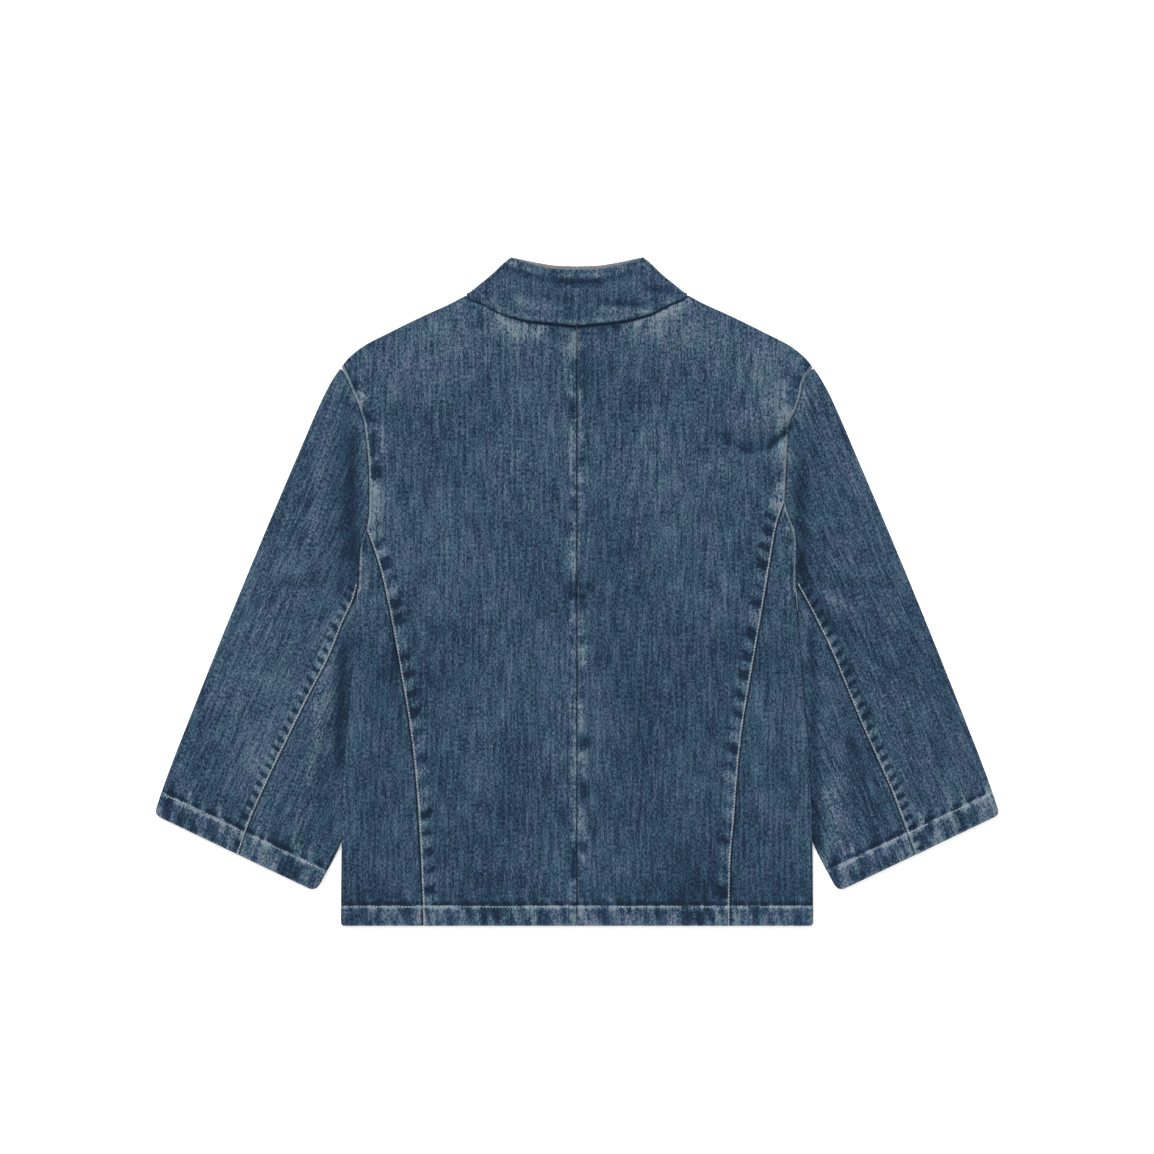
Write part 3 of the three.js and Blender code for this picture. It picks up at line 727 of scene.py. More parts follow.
def collar_upper(side, half, y):
    """Outer face of the back of the collar."""
    neck = curve(NECK_SEAM["half"], NECK_SEAM["y"])(half)
    top = curve(COLLAR_TOP["half"], COLLAR_TOP["y"])(np.minimum(half, 66))
    up = np.clip((y - neck) / np.maximum(top - neck, 1), 0, 1)
    x = SIGN[side] * half
    row = top - y
    quiver = noise_1d(51, x + 300, 7)
    middle = 1 - smooth(40, 80, np.abs(x - 5))
    groove = np.exp(-(((row - 12.0) / 3.0) ** 2)) * (1 - smooth(45, 80, np.abs(x + 5)))
    small = ridges(COLLAR_CREASES, x, y)
    z = COLLAR_BACK_Z + CLOTH + 0.5 * np.sin(np.pi * up) + small * smooth(0, 6, y - neck)
    z = z - 0.8 * groove + 0.3 * quiver * np.exp(-(((row - 6) / 4) ** 2))
    z -= 0.6 * np.exp(-(((y - neck) / 1.4) ** 2))
    z = np.maximum(z, FACING_BACK_Z + 1.0 + SHELL + LEAST_GAP)
    fields = no_fields(x.shape)
    # Paler: wear along the top of the collar and at its folded edge, painted highlight on the ridge above
    # the neck seam and on the ridges of the small creases
    worn_and_lit = 0.75 * smooth(-0.5, 0.6, quiver) * np.exp(-(((row - 6.0) / 2.6) ** 2))
    worn_and_lit += 0.45 * middle * np.exp(-(((y - neck - 5.5) / 2.2) ** 2))
    fields[..., 0] = worn_and_lit + 0.25 * np.exp(-((row / 1.4) ** 2)) + 0.45 * np.maximum(small, 0)
    # Darker: painted shade in the crease band and the troughs of the small creases, and painted shadow
    # along the neck seam, on the right and in the middle
    collar_edge_shadow = smooth(-90, -30, x) * np.exp(-(((y - neck) / 1.9) ** 2))
    fields[..., 1] = (0.75 + 0.35 * quiver) * groove + 0.55 * np.maximum(-small, 0) + 0.9 * collar_edge_shadow
    first = FIELDS.index("seam")
    even = np.ones_like(x)
    away = (y - neck) * mix(1.0, 0.5, middle)
    # The dark line along the neck seam is painted shadow, wider in the middle and fainter at the left end
    looks = (away, (y - neck) / 7, quiver, 0.2 * even, 0.25 * even, 1 - 0.6 * smooth(-60, -90, x))
    fields[..., first : first + 6] = np.stack(looks, axis=-1)
    return z, fields


COLLAR_CREASES = table(
    "x0 y0 x1 y1 wide high",
    (22, 289, 40, 287, 3.0, -1.0),
    (40, 287, 66, 286, 2.6, -1.2),
    (66, 286, 84, 291, 2.6, -0.5),
    (70, 302, 92, 300, 3.4, -0.8),
    (-20, 309, 22, 307, 4.0, -0.5),
    (24, 281, 74, 278, 4.0, 0.8),
    (-86, 291, -61, 256, 2.6, 0.9),
    (-95, 292, -78, 272, 2.6, 0.6),
    (-62, 290, -24, 279, 5.0, 0.7),
    (-50, 298, -10, 291, 4.0, -0.5),
    (18, 274, 34, 262, 3.0, 0.6),
    (74, 300, 96, 298, 4.0, -0.5),
)


def flat_at(z):
    return lambda side, half, y: (np.full_like(half, z), no_fields(half.shape))


# Pieces of cloth


def grid_mesh(name, grid, weave, material, wall, outward):
    """A mesh through a grid of points with its fields, turned so that the wall grows inwards.

    Cells gathered beside a seam on the floor are turned to look down, like the cloth round them.
    """
    rows, columns = grid.shape[:2]
    index = np.arange(rows * columns).reshape(rows, columns)
    quads = np.stack([index[:-1, :-1], index[1:, :-1], index[1:, 1:], index[:-1, 1:]], axis=-1)
    quads = quads.reshape(-1, 4)[:, ::outward]
    points = grid[..., :3].reshape(-1, 3)
    corners = points[quads]
    facing = np.cross(corners[:, 2] - corners[:, 0], corners[:, 3] - corners[:, 1])[:, 2]
    looks_up = (corners[..., 2].max(axis=1) < ON_FLOOR) & (facing > 0)
    quads[looks_up] = quads[looks_up][:, ::-1]
    mesh = bpy.data.meshes.new(name)
    mesh.from_pydata((points * MM).tolist(), [], quads.tolist())
    uv = mesh.uv_layers.new(name="weave")
    uv.data.foreach_set("uv", (weave.reshape(-1, 2) * MM)[quads.ravel()].ravel())
    for k, label in enumerate(FIELDS):
        layer = mesh.attributes.new(label, "FLOAT", "POINT")
        layer.data.foreach_set("value", grid[..., 3 + k].ravel().astype(np.float32))
    mesh.polygons.foreach_set("use_smooth", [True] * len(mesh.polygons))
    mesh.materials.append(material)
    piece = bpy.data.objects.new(name, mesh)
    bpy.context.collection.objects.link(piece)
    solid = piece.modifiers.new("wall of the cloth", "SOLIDIFY")
    solid.thickness = wall * MM
    solid.offset = -1
    solid.use_even_offset = False
    return piece


def placed(plan, surface, side):
    """Grid in plan given its heights and fields."""
    z, fields = surface(side, plan[..., 0], plan[..., 1])
    return np.concatenate([plan, z[..., None], fields], axis=-1)


def wrapped(top, bottom, fold):
    """Upper layer, roll round the fold and lower layer as one grid."""
    angles = np.pi / 2 - np.pi * np.arange(1, ROLL_COLUMNS) / ROLL_COLUMNS
    share = ((1 + np.sin(angles)) / 2)[None, :, None]
    roll = mix(bottom[:, -1:], top[:, -1:], share)
    roll[..., :2] = mix(roll[..., :2], fold[:, None, :], np.cos(angles)[None, :, None])
    return np.concatenate([top, roll, bottom[:, ::-1]], axis=1)


def turned_up(grid, inward, depth):
    """Adds the hem's turned-up cloth behind the last rows of a grid."""
    points = grid[..., :3]
    reach = np.linalg.norm(points[-1:, :, :2] - points[:, :, :2], axis=-1).mean(axis=1)
    first = int(np.searchsorted(-reach, -(depth - 2.5)))
    rows = points[first:-1][::-1]
    run_down = np.gradient(points, axis=0)[first:-1][::-1]
    run_across = np.gradient(points, axis=1)[first:-1][::-1]
    normal = np.cross(run_down, run_across)
    normal /= np.maximum(np.linalg.norm(normal, axis=-1, keepdims=True), 1e-9)
    behind = rows + normal * inward * TURN_UP_GAP
    edge = points[-1:]
    out = (edge - rows[:1]) / np.linalg.norm(edge - rows[:1], axis=-1, keepdims=True)
    tuck = edge + normal[:1] * inward * TURN_UP_GAP * 0.5 + out * TUCK
    last = edge + normal[:1] * inward * TURN_UP_GAP
    extra = np.concatenate([tuck, last, behind])
    fields = np.repeat(grid[-1:, :, 3:], len(extra), axis=0)
    return np.concatenate([grid, np.concatenate([extra, fields], axis=-1)])


GRAIN = {"body": 0.0, "sleeve": math.atan2(185.5, 441)}
PARTS = "back", "front", "side", "upper_sleeve", "under_sleeve"
PIECES = [f"{part}_{side}" for side in SIGN for part in PARTS]


def weave_map(grid, grain, side, offset):
    """Where each point lies on its cloth, in millimetres, the warp running along the second axis."""
    angle = GRAIN[grain] * -SIGN[side]
    x, y = grid[..., 0], grid[..., 1]
    across = x * math.cos(angle) - y * math.sin(angle)
    along = x * math.sin(angle) + y * math.cos(angle)
    return np.stack([across + offset, along + offset * 0.7], axis=-1)


def cloth_piece(node, grid, side, grain, material, turn):
    """One cut piece from its placed grid; turn is -1 where the grid's columns run inwards."""
    outward = SIGN[side] * turn
    grid = rounded(grid, grain)
    grid[..., 0] *= SIGN[side]
    grid = turned_up(grid, -outward, CUFF_DEPTH if grain == "sleeve" else HEM_DEPTH)
    offset = 311 * PIECES.index(node) + 40
    weave = weave_map(grid, grain, side, offset)
    piece = grid_mesh(node + "_cloth", grid, weave, material, SHELL, outward)
    declare(piece, node)


def declare(piece, node):
    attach(piece, "root")
    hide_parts(node)


def steps_for(length, cell):
    return max(3, int(round(length / cell)))


# The two sides of the jacket


def side_of_jacket(side, denim):
    hole = traced(ARMHOLE, "y", side)
    join_y = PRINCESS[side]["y"][0]
    upper_hole = hole[hole[:, 1] >= join_y]
    lower_hole = hole[hole[:, 1] <= join_y]
    seam_top = hole[hole[:, 1] >= SLEEVE_SEAM["y"][0]][-1]
    join = upper_hole[-1]
    princess = np.concatenate([join[None], traced(PRINCESS[side])[1:]])
    side_front = np.concatenate([join[None], traced(SIDE_FRONT)])

    def panel(neck, seam, cell):
        rows, columns = steps_for(600, cell), steps_for(236, cell)
        top_line = np.concatenate([traced(neck, "half", "y"), traced(SHOULDER, "half", "y")[1:]])
        outer = spaced(np.concatenate([upper_hole, seam[1:]]), rows)
        inner = spaced([(0, neck["y"][0]), (0, HEM_Y)], rows)
        bottom = spaced([inner[-1], outer[-1]], columns)
        grid = filled(spaced(top_line, columns), bottom, inner, outer)
        return drawn_back(grid, ("inner", "outer", "top"))

    cloth_piece(
        f"back_{side}", placed(panel(NECK_SEAM, princess, BACK_CELL), body_upper, side), side, "body",
        denim, 1,
    )
    cloth_piece(
        f"front_{side}", placed(panel(FRONT_NECK, side_front, COARSE), body_lower, side), side,
        "body", denim, -1,
    )

    # Side panel, round the side fold
    rows = steps_for(396, FINE)
    fold = fold_line(SIDE_FOLD, rows)
    start = roll_start(fold, FOLD_ROLL, 1, seam_top)

    def side_part(seam, cell):
        columns = steps_for(62, cell)
        top = spaced(np.concatenate([lower_hole[:-1], start[:1]]), columns)
        inner = spaced(seam, rows)
        bottom = spaced([inner[-1], start[-1]], columns)
        grid = filled(top, bottom, inner, start)
        return drawn_back(evened(grid) if cell == COARSE else grid, ("inner", "top"))

    upper = placed(side_part(princess, FINE), body_upper, side)
    lower = placed(side_part(side_front, COARSE), body_lower, side)
    cloth_piece(
        f"side_{side}", wrapped(upper, lower, fold), side, "body", denim, 1,
    )

    # Outer sleeve, round the outer fold
    rows = steps_for(470, FINE)
    front_top = hole[np.searchsorted(-hole[:, 1], -mix(join_y, seam_top[1], 0.75))]
    back_seam = np.concatenate([seam_top[None], traced(SLEEVE_SEAM, "y", side)[1:]])
    front_seam = np.concatenate([front_top[None], traced(SLEEVE_FRONT)])
    fold = fold_line(SLEEVE_OUTER, rows)
    start = roll_start(fold, FOLD_ROLL, 1, hole[20])

    def outer_part(seam, cell):
        columns = steps_for(170, cell)
        reach = hole[(hole[:, 1] >= seam[0, 1]) & (hole[:, 1] < 222.5)]
        top = spaced(np.concatenate([reach[::-1], start[:1]]), columns)
        inner = spaced(seam, rows)
        bottom = spaced([inner[-1], start[-1]], columns)
        grid = filled(top, bottom, inner, start)
        return drawn_back(evened(grid) if cell == COARSE else grid, ("inner", "top"))

    upper = placed(outer_part(back_seam, FINE), sleeve_upper, side)
    lower = placed(outer_part(front_seam, COARSE), sleeve_lower, side)
    cloth_piece(
        f"upper_sleeve_{side}", wrapped(upper, lower, fold), side, "sleeve", denim, 1,
    )

    # Inner sleeve, round the fold under the arm
    rows = steps_for(330, FINE)
    fold = fold_line(SLEEVE_INNER, rows)
    start = roll_start(fold, FOLD_ROLL, -1, seam_top)

    def inner_part(seam, top_line, cell):
        columns = steps_for(95, cell)
        top = spaced(top_line, columns)
        inner = spaced(seam, rows)
        bottom = spaced([inner[-1], start[-1]], columns)
        grid = filled(top, bottom, inner, start)
        return drawn_back(evened(grid) if cell == COARSE else grid, ("inner", "top"))

    under_front = np.concatenate([hole[(hole[:, 1] <= front_top[1]) & (hole[:, 1] > 3)], start[:1]])
    upper = placed(inner_part(back_seam, [seam_top, start[0]], FINE), sleeve_upper, side)
    lower = placed(inner_part(front_seam, under_front, COARSE), sleeve_lower, side)
    cloth_piece(
        f"under_sleeve_{side}", wrapped(upper, lower, fold), side, "sleeve", denim, -1,
    )


# Collar


def band(name, neck, front, fold, top_line, front_top, surfaces, roll, wall, material, flat, area, slot):
    """A band from the centre front round both sides, as one grid."""
    rows = len(fold) - 1

    def part(lower_line, upper_line, columns):
        start = roll_start(fold, roll, -1, lower_line[-8])
        lower_edge = spaced(np.concatenate([lower_line[:-1], start[:1]]), columns)
        upper_edge = spaced(np.concatenate([upper_line[:-1], start[-1:]]), columns)
        inner = spaced([lower_edge[0], upper_edge[0]], rows)
        return drawn_back(filled(lower_edge, upper_edge, inner, start), ("top",))

    in_front = spaced([(SEAM_GAP / 2, front_top), top_line[-1]], 60)
    back_grid = part(neck, top_line, 56)
    front_grid = part(front, in_front, 24)
    halves = []
    for side in ("left", "right"):
        upper = placed(back_grid, surfaces[0], side)
        lower = placed(front_grid, surfaces[1], side)
        half = wrapped(upper, lower, fold)
        half[..., 0] *= SIGN[side]
        halves.append(half)
    grid = np.concatenate([halves[0][:, :0:-1], halves[1]], axis=1)
    weave = weave_map(grid, "body", "right", 77)
    piece = grid_mesh(name + "_cloth", grid, weave, material, wall, -1)
    declare(piece, name)


def collar_pieces(denim, reverse):
    rows = 30
    fold = fold_line(COLLAR_FOLD, rows, "half", "y")
    neck = spaced(traced(NECK_SEAM, "half", "y"), 200)
    front = spaced(traced(FRONT_NECK, "half", "y"), 200)
    front[0, 0] = SEAM_GAP / 2
    band(
        "collar", neck, front, fold, spaced(traced(COLLAR_TOP, "half", "y"), 200), COLLAR_FRONT_Y,
        (collar_upper, flat_at(0)), COLLAR_ROLL, SHELL, denim, (0.50, 0.09), 0.027, "denim",
    )
    inset = roll_start(fold, FACING_INSET, -1, neck[0])
    inset[0] = FACING_FOLD_START

    def raised(line):
        half = line[:, 0] * FACING_FOLD_START[0] / NECK_SEAM["half"][-1]
        return np.stack([half, line[:, 1] + FACING_RAISE * (1 - line[:, 0] / 300)], axis=-1)

    surfaces = (flat_at(FACING_BACK_Z + 1.0), flat_at(FACING_FRONT_Z))
    band(
        "collar_facing", raised(neck), raised(front), inset,
        spaced(traced(FACING_TOP, "half", "y"), 200), COLLAR_FRONT_Y + 3, surfaces, FACING_ROLL,
        FACING_SHELL, reverse, (0.48, 0.085), 0.025, "facing",
    )


# Topstitching


def stitch_lines():
    """The pale lines of stitches that show, each a line of points just above the cloth."""
    up = np.array([CUFF_RUN[1], -CUFF_RUN[0]]) * HEM_STITCH * CUFF_DEPTH / HEM_DEPTH
    cuff = spaced([CUFF_OUTER + up, CUFF_INNER + up], 140)[2:-2]
    hem = spaced([(0.5, HEM_Y + HEM_STITCH), (235, HEM_Y + HEM_STITCH)], 160)
    lines = []
    for side in ("left", "right"):
        seams = SEAM_LINES[side]
        princess = spaced(seams["princess"], 300)[2:-1] - (STITCH_OFF_SEAM, 0)
        sleeve = spaced(seams["sleeve"], 300)[3:-1] + (STITCH_OFF_SEAM, 0)
        for line, surface, sunk in (
            (princess, body_upper, 0), (hem, body_upper, 0.9),
            (sleeve, sleeve_upper, 0), (cuff, sleeve_upper, 1),
        ):
            uneven = 0.5 + 0.35 * noise_1d(81, line[:, 0] * SIGN[side], 11)
            uneven = uneven + 0.25 * noise_1d(82, line[:, 0] * SIGN[side], 34)
            z = surface(side, line[:, 0], line[:, 1])[0] + THREAD * (0.2 - SINKING * sunk * uneven)
            lines.append(np.stack([line[:, 0] * SIGN[side], line[:, 1], z], axis=-1))
    return lines


def stitching_tree(material):
    """Stitches set along every line of the mesh they are given."""
    tree = bpy.data.node_groups.new("stitches along a line", "GeometryNodeTree")
    face = tree.interface
    face.new_socket("Lines", in_out="INPUT", socket_type="NodeSocketGeometry")
    sizes = {}
    for name, value in (("Pitch", 3.2), ("Stitch length", 3.0), ("Thread width", THREAD)):
        socket = face.new_socket(name, in_out="INPUT", socket_type="NodeSocketFloat")
        socket.default_value = value * MM
        sizes[name] = (socket.identifier, value * MM)
    face.new_socket("Stitches", in_out="OUTPUT", socket_type="NodeSocketGeometry")
    nodes, links = tree.nodes, tree.links
    given = nodes.new("NodeGroupInput")
    result = nodes.new("NodeGroupOutput")
    curve_of = nodes.new("GeometryNodeMeshToCurve")
    links.new(given.outputs["Lines"], curve_of.inputs["Mesh"])
    even = nodes.new("GeometryNodeResampleCurve")
    even.mode = "LENGTH"
    links.new(curve_of.outputs["Curve"], even.inputs["Curve"])
    links.new(given.outputs["Pitch"], even.inputs["Length"])
    bead = nodes.new("GeometryNodeMeshUVSphere")
    bead.inputs["Segments"].default_value = 8
    bead.inputs["Rings"].default_value = 6
    bead.inputs["Radius"].default_value = 0.5
    tangent = nodes.new("GeometryNodeInputTangent")
    turn = nodes.new("FunctionNodeAlignRotationToVector")
    turn.axis = "X"
    links.new(tangent.outputs["Tangent"], turn.inputs["Vector"])
    size = nodes.new("ShaderNodeCombineXYZ")
    links.new(given.outputs["Stitch length"], size.inputs["X"])
    links.new(given.outputs["Thread width"], size.inputs["Y"])
    links.new(given.outputs["Thread width"], size.inputs["Z"])
    set_on = nodes.new("GeometryNodeInstanceOnPoints")
    links.new(even.outputs["Curve"], set_on.inputs["Points"])
    links.new(bead.outputs["Mesh"], set_on.inputs["Instance"])
    links.new(turn.outputs["Rotation"], set_on.inputs["Rotation"])
    links.new(size.outputs["Vector"], set_on.inputs["Scale"])
    real = nodes.new("GeometryNodeRealizeInstances")
    links.new(set_on.outputs["Instances"], real.inputs["Geometry"])
    coloured = nodes.new("GeometryNodeSetMaterial")
    coloured.inputs["Material"].default_value = material
    links.new(real.outputs["Geometry"], coloured.inputs["Geometry"])
    links.new(coloured.outputs["Geometry"], result.inputs["Stitches"])
    return tree, sizes


def topstitching(material):
    points, edges = [], []
    for line in stitch_lines():
        first = len(points)
        points += (line * MM).tolist()
        edges += [(first + k, first + k + 1) for k in range(len(line) - 1)]
    mesh = bpy.data.meshes.new("stitch lines")
    mesh.from_pydata(points, edges, [])
    lines = bpy.data.objects.new("stitch lines", mesh)
    bpy.context.collection.objects.link(lines)
    tree, sizes = stitching_tree(material)
    sewing = lines.modifiers.new("sewing", "NODES")
    sewing.node_group = tree
    for identifier, value in sizes.values():
        sewing[identifier] = value
    seen = lines.evaluated_get(bpy.context.evaluated_depsgraph_get())
    stitches = bpy.data.objects.new("topstitching", bpy.data.meshes.new_from_object(seen))
    bpy.data.objects.remove(lines)
    bpy.context.collection.objects.link(stitches)
    stitches.data.polygons.foreach_set("use_smooth", [True] * len(stitches.data.polygons))
    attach(stitches, "root")


# Materials

# Colour of the denim from its darkest to its palest tone
DENIM_TONES = (
    (0.00, (0.003, 0.009, 0.021)),
    (0.27, (0.007, 0.023, 0.049)),
    (0.46, (0.017, 0.040, 0.072)),
    (0.65, (0.038, 0.071, 0.112)),
    (1.00, (0.135, 0.172, 0.202)),
)
MIDDLE_TONE = 0.49
DRIFT_SCALE = (42, 26)
GREENER = (0.89, 1.03, 0.96, 1)
WARMER = (1.13, 0.98, 1.05, 1)


def new_material(name):
    material = bpy.data.materials.new(name)
    material.use_nodes = True
    nodes = material.node_tree.nodes
    return material, nodes, material.node_tree.links, nodes["Principled BSDF"]


def cloth_noise(nodes, links, where, scale, detail, roughness, label):
    """Noise over the cloth, the scale in marks per metre across and along the warp."""
    mapping = nodes.new("ShaderNodeMapping")
    mapping.inputs["Scale"].default_value = (scale[0], scale[1], 1)
    links.new(where, mapping.inputs["Vector"])
    noise = nodes.new("ShaderNodeTexNoise")
    noise.label = label
    noise.inputs["Scale"].default_value = 1
    noise.inputs["Detail"].default_value = detail
    noise.inputs["Roughness"].default_value = roughness
    links.new(mapping.outputs["Vector"], noise.inputs["Vector"])
    return noise.outputs["Fac"]


def maths(nodes, links, operation, a, b=None, clamp=False):
    node = nodes.new("ShaderNodeMath")
    node.operation = operation
    node.use_clamp = clamp
    for socket, value in zip(node.inputs, (a, b)):
        if isinstance(value, (int, float)):
            socket.default_value = value
        elif value is not None:
            links.new(value, socket)
    return node.outputs[0]


def rise(nodes, links, value, start, end):
    """From 0 at the start to 1 at the end, softly; from 1 to 0 where the start is the larger."""
    node = nodes.new("ShaderNodeMapRange")
    node.interpolation_type = "SMOOTHSTEP"
    low, high = sorted((start, end))
    node.inputs["From Min"].default_value = low
    node.inputs["From Max"].default_value = high
    node.inputs["To Min"].default_value = 0 if start < end else 1
    node.inputs["To Max"].default_value = 1 if start < end else 0
    links.new(value, node.inputs["Value"])
    return node.outputs["Result"]


def shaded_denim():
    """Washed blue twill: warp streaks, grain of the weave, pale wear with painted highlight, painted shade
    in the creases, dark seams with painted shadow along the neck seam, and painted shadow above the hems.
    """
    material, nodes, links, shader = new_material("washed blue denim")
    where = nodes.new("ShaderNodeUVMap")
    where.uv_map = "weave"
    uv = where.outputs["UV"]

    def times(a, b):
        return maths(nodes, links, "MULTIPLY", a, b)

    def plus(a, b):
        return maths(nodes, links, "ADD", a, b)

    def ramped(value, start, end):
        return rise(nodes, links, value, start, end)

    def field(name):
        node = nodes.new("ShaderNodeAttribute")
        node.attribute_name = name
        return node.outputs["Fac"]

    # Tone of the cloth: each pattern adds its share about a middle value
    patterns = (
        # label, marks per metre across and along the warp, detail, roughness, share
        ("short warp streaks", (640, 320), 2.0, 0.60, 2.1),
        ("long faint streaks", (340, 28), 2.0, 0.55, 1.25),
        ("grain of the weave", (950, 760), 2.0, 0.65, 1.6),
        ("mottling of the wash", (95, 60), 2.0, 0.55, 0.58),
        ("slow unevenness of the wash", (11, 8), 2.0, 0.50, 0.60),
    )
    fields = {}
    tone = MIDDLE_TONE
    for label, scale, detail, roughness, share in patterns:
        fields[label] = cloth_noise(nodes, links, uv, scale, detail, roughness, label)
        tone = plus(times(plus(fields[label], -0.5), share), tone)
    palest = maths(nodes, links, "MAXIMUM", plus(tone, -0.60), 0.0)
    tone = plus(tone, times(palest, -0.55))

    # Ragged edges for what follows, and the grain of abraded cloth
    ragged = plus(cloth_noise(nodes, links, uv, (210, 170), 2.0, 0.6, "raggedness"), -0.5)
    speckle = cloth_noise(nodes, links, uv, (640, 420), 2.0, 0.6, "grain of the abrasion")
    grain = plus(plus(times(speckle, 1.4), 0.3), times(ragged, 1.2))

    # Beside the seams: dark spots in the puckers, pale abrasion between them, a thin dark line, which along
    # the neck seam is painted shadow
    wave = plus(field("wave"), times(ragged, 1.6))
    near = ramped(plus(field("reach"), times(ragged, 1.2)), 1.15, 0.7)
    seam = field("seam")
    spots = times(times(ramped(wave, -0.12, -0.60), near), times(ramped(seam, 1.8, 3.2), field("ticks")))
    abraded = times(times(ramped(wave, -0.3, 0.8), near), field("pale"))
    edge = times(ramped(seam, 3.2, 2.2), field("edge"))
    line = times(ramped(plus(seam, times(ragged, 1.2)), 1.7, 0.7), field("line"))

    # Turned-up hems: a pale edge, uneven roping, fraying at the stitches and a painted shadow as a dark
    # line above
    hem = field("hem")
    blots = plus(cloth_noise(nodes, links, uv, (70, 40), 1.0, 0.5, "blots of the hem"), -0.5)
    patches = plus(times(field("roping"), 0.34), plus(times(blots, 3.4), times(ragged, 1.2)))
    band = ramped(hem, 20.4, 19.6)
    roped = times(times(ramped(patches, -0.45, 0.9), band), 0.66)
    hem_edge = times(ramped(plus(hem, times(ragged, 1.5)), 2.2, 0.8), 0.55)
    frayed = times(ramped(hem, 15.6, 17.2), ramped(hem, 20.9, 19.4))
    uneven = plus(plus(times(blots, 4.0), times(ragged, 1.6)), times(field("roping"), 0.12))
    frayed = times(times(frayed, ramped(uneven, -0.9, 0.7)), 0.9)
    rumpled = plus(field("roping"), times(ragged, 2.4))
    # painted shadow just above the edge of the turned-up hem, broken by the roping
    above = times(times(ramped(hem, 26.0, 20.8), ramped(hem, 19.8, 20.6)), 1.25)
    above = times(above, ramped(rumpled, 3.0, -1.2))
    between = times(times(ramped(patches, 0.0, -0.9), band), 0.60)

    # The roping runs on above a hem, strongest on the sleeves
    beyond = times(ramped(hem, 42.0, 22.0), ramped(hem, 19.8, 20.6))
    streaks = times(times(ramped(rumpled, 0.2, 2.4), beyond), 0.80)
    hollows = times(times(ramped(rumpled, -0.2, -2.4), beyond), 0.60)

    # Paler where worn and where highlight is painted, darker where shade and shadow are painted, at the
    # dark spots and lines of the seams and in the hollows of the roping
    worn_and_lit = plus(plus(field("wear"), abraded), plus(plus(edge, frayed), plus(roped, hem_edge)))
    worn_and_lit = plus(worn_and_lit, streaks)
    dark = plus(plus(field("shade"), spots), plus(plus(line, above), plus(between, hollows)))
    tone = plus(tone, times(times(worn_and_lit, grain), 0.42))
    tone = maths(nodes, links, "SUBTRACT", tone, times(dark, 0.40), clamp=True)

    ramp = nodes.new("ShaderNodeValToRGB")
    stops = ramp.color_ramp.elements
    stops[0].position, stops[0].color = DENIM_TONES[0][0], DENIM_TONES[0][1] + (1,)
    stops[1].position, stops[1].color = DENIM_TONES[-1][0], DENIM_TONES[-1][1] + (1,)
    for position, colour in DENIM_TONES[1:-1]:
        stops.new(position).color = colour + (1,)
    links.new(tone, ramp.inputs["Fac"])

    # The dye drifts between a greener and a warmer blue
    drift = cloth_noise(nodes, links, uv, DRIFT_SCALE, 3.0, 0.6, "drift of the dye")
    tint = nodes.new("ShaderNodeMix")
    tint.data_type = "RGBA"
    tint.inputs["A"].default_value = GREENER
    tint.inputs["B"].default_value = WARMER
    links.new(ramped(drift, 0.30, 0.70), tint.inputs["Factor"])
    dyed = nodes.new("ShaderNodeVectorMath")
    dyed.operation = "MULTIPLY"
    links.new(ramp.outputs["Color"], dyed.inputs[0])
    links.new(tint.outputs["Result"], dyed.inputs[1])
    links.new(dyed.outputs["Vector"], shader.inputs["Base Color"])

    rough = plus(times(fields["mottling of the wash"], 0.12), 0.84)
    links.new(rough, shader.inputs["Roughness"])
    shader.inputs["Specular IOR Level"].default_value = 0.15
    shader.inputs["Sheen Weight"].default_value = 0.03
    shader.inputs["Sheen Roughness"].default_value = 0.55
    shader.inputs["Sheen Tint"].default_value = (0.75, 0.82, 0.92, 1)

    # Diagonal ribs of the twill, with the streaks and the grain, as fine relief
    mapping = nodes.new("ShaderNodeMapping")
    mapping.inputs["Rotation"].default_value = (0, 0, math.radians(58))
    links.new(uv, mapping.inputs["Vector"])
    twill = nodes.new("ShaderNodeTexWave")
    twill.inputs["Scale"].default_value = 230
    twill.inputs["Distortion"].default_value = 1.2
    twill.inputs["Detail"].default_value = 1
    links.new(mapping.outputs["Vector"], twill.inputs["Vector"])
    weave = plus(fields["short warp streaks"], fields["grain of the weave"])
    bump = nodes.new("ShaderNodeBump")
    bump.inputs["Strength"].default_value = 0.6
    bump.inputs["Distance"].default_value = 0.0006
    links.new(plus(times(twill.outputs["Fac"], 0.35), weave), bump.inputs["Height"])
    links.new(bump.outputs["Normal"], shader.inputs["Normal"])
    return material


def pale_thread():
    material, nodes, links, shader = new_material("pale sewing thread")
    where = nodes.new("ShaderNodeTexCoord")
    noise = nodes.new("ShaderNodeTexNoise")
    noise.inputs["Scale"].default_value = 260
    links.new(where.outputs["Object"], noise.inputs["Vector"])
    ramp = nodes.new("ShaderNodeValToRGB")
    ramp.color_ramp.elements[0].position = 0.3
    ramp.color_ramp.elements[0].color = (0.12, 0.15, 0.18, 1)
    ramp.color_ramp.elements[1].position = 0.7
    ramp.color_ramp.elements[1].color = (0.30, 0.34, 0.37, 1)
    links.new(noise.outputs["Fac"], ramp.inputs["Fac"])
    links.new(ramp.outputs["Color"], shader.inputs["Base Color"])
    shader.inputs["Roughness"].default_value = 0.7
    return material


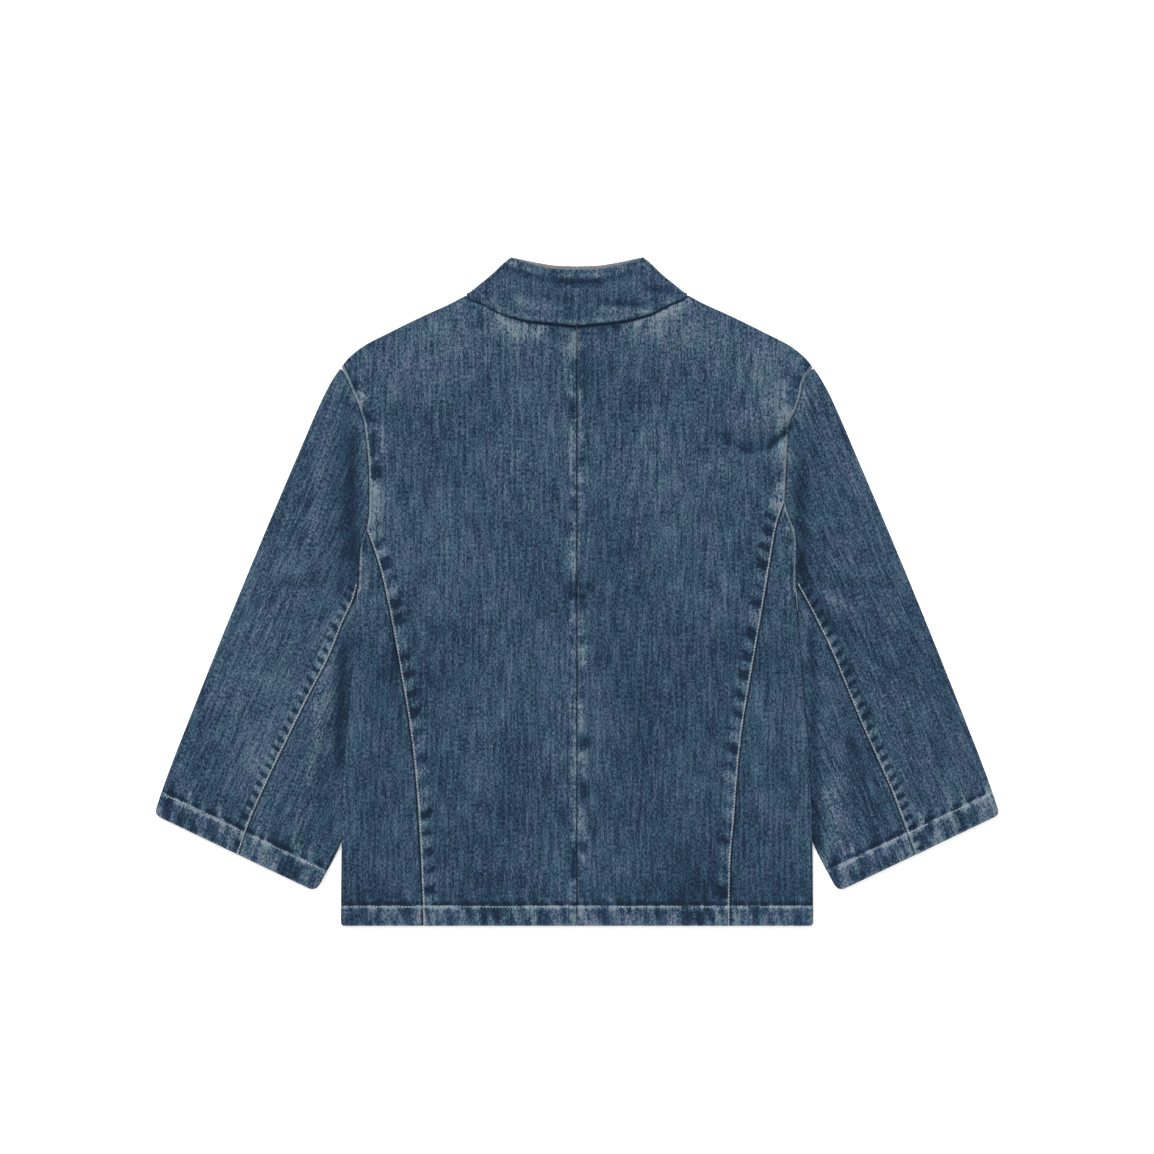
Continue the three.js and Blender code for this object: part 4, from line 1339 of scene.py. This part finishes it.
def pale_reverse():
    """The pale reverse of the cloth, on the inner collar."""
    material, nodes, links, shader = new_material("pale inner collar")
    where = nodes.new("ShaderNodeUVMap")
    where.uv_map = "weave"
    threads = cloth_noise(nodes, links, where.outputs["UV"], (500, 420), 3.0, 0.6, "threads")
    ramp = nodes.new("ShaderNodeValToRGB")
    ramp.color_ramp.elements[0].position = 0.25
    ramp.color_ramp.elements[0].color = (0.07, 0.073, 0.08, 1)
    ramp.color_ramp.elements[1].position = 0.75
    ramp.color_ramp.elements[1].color = (0.20, 0.203, 0.21, 1)
    links.new(threads, ramp.inputs["Fac"])
    links.new(ramp.outputs["Color"], shader.inputs["Base Color"])
    shader.inputs["Roughness"].default_value = 0.9
    shader.inputs["Specular IOR Level"].default_value = 0.2
    bump = nodes.new("ShaderNodeBump")
    bump.inputs["Strength"].default_value = 0.5
    bump.inputs["Distance"].default_value = 0.0004
    links.new(threads, bump.inputs["Height"])
    links.new(bump.outputs["Normal"], shader.inputs["Normal"])
    return material


# Floor, light and camera

FLOOR_GLOW = 0.24


def floor_material(name, glow):
    material, _nodes, _links, shader = new_material(name)
    shader.inputs["Base Color"].default_value = (0.93, 0.93, 0.925, 1)
    shader.inputs["Roughness"].default_value = 0.9
    shader.inputs["Emission Color"].default_value = (1, 1, 1, 1)
    shader.inputs["Emission Strength"].default_value = glow
    return material


def stage():
    """A pale floor that glows a little, like a light table, but not under the jacket's body."""
    around = [(-6, -6, 0), (6, -6, 0), (6, 6, 0), (-6, 6, 0)]
    under = [(-0.2, -0.333, 0), (0.2, -0.333, 0), (0.2, 0.245, 0), (-0.2, 0.245, 0)]
    faces = [(k, (k + 1) % 4, 4 + (k + 1) % 4, 4 + k) for k in range(4)] + [(4, 5, 6, 7)]
    mesh = bpy.data.meshes.new("floor")
    mesh.from_pydata(around + under, [], faces)
    mesh.materials.append(floor_material("pale floor", FLOOR_GLOW))
    mesh.materials.append(floor_material("pale floor under the body", 0))
    mesh.polygons[4].material_index = 1
    floor = bpy.data.objects.new("floor", mesh)
    bpy.context.collection.objects.link(floor)
    floor.location.z = -0.0004


def sun(name, towards, strength, angle):
    light = bpy.data.lights.new(name, "SUN")
    light.energy = strength
    light.angle = math.radians(angle)
    lamp = bpy.data.objects.new(name, light)
    bpy.context.collection.objects.link(lamp)
    lamp.rotation_euler = Vector(towards).to_track_quat("-Z", "Y").to_euler()


def light_and_camera():
    sun("soft light from above left", (0.40, -0.80, -0.62), 3.6, 30)
    sun("fill from the right", (-0.7, 0.1, -0.9), 0.4, 60)
    world = bpy.data.worlds.new("soft studio")
    world.use_nodes = True
    world.node_tree.nodes["Background"].inputs["Color"].default_value = (1, 1, 1, 1)
    world.node_tree.nodes["Background"].inputs["Strength"].default_value = 0.85
    bpy.context.scene.world = world
    bpy.context.scene.view_settings.view_transform = "Standard"

    camera = bpy.data.cameras.new("camera")
    camera.lens = 85
    camera.sensor_width = 36
    eye = bpy.data.objects.new("camera", camera)
    bpy.context.collection.objects.link(eye)
    frame_width = 1.154
    eye.location = (0, 0.014, frame_width * camera.lens / camera.sensor_width)
    bpy.context.scene.camera = eye


denim = shaded_denim()
reverse = pale_reverse()
stage()
for side in ("left", "right"):
    side_of_jacket(side, denim)
collar_pieces(denim, reverse)
topstitching(pale_thread())
light_and_camera()
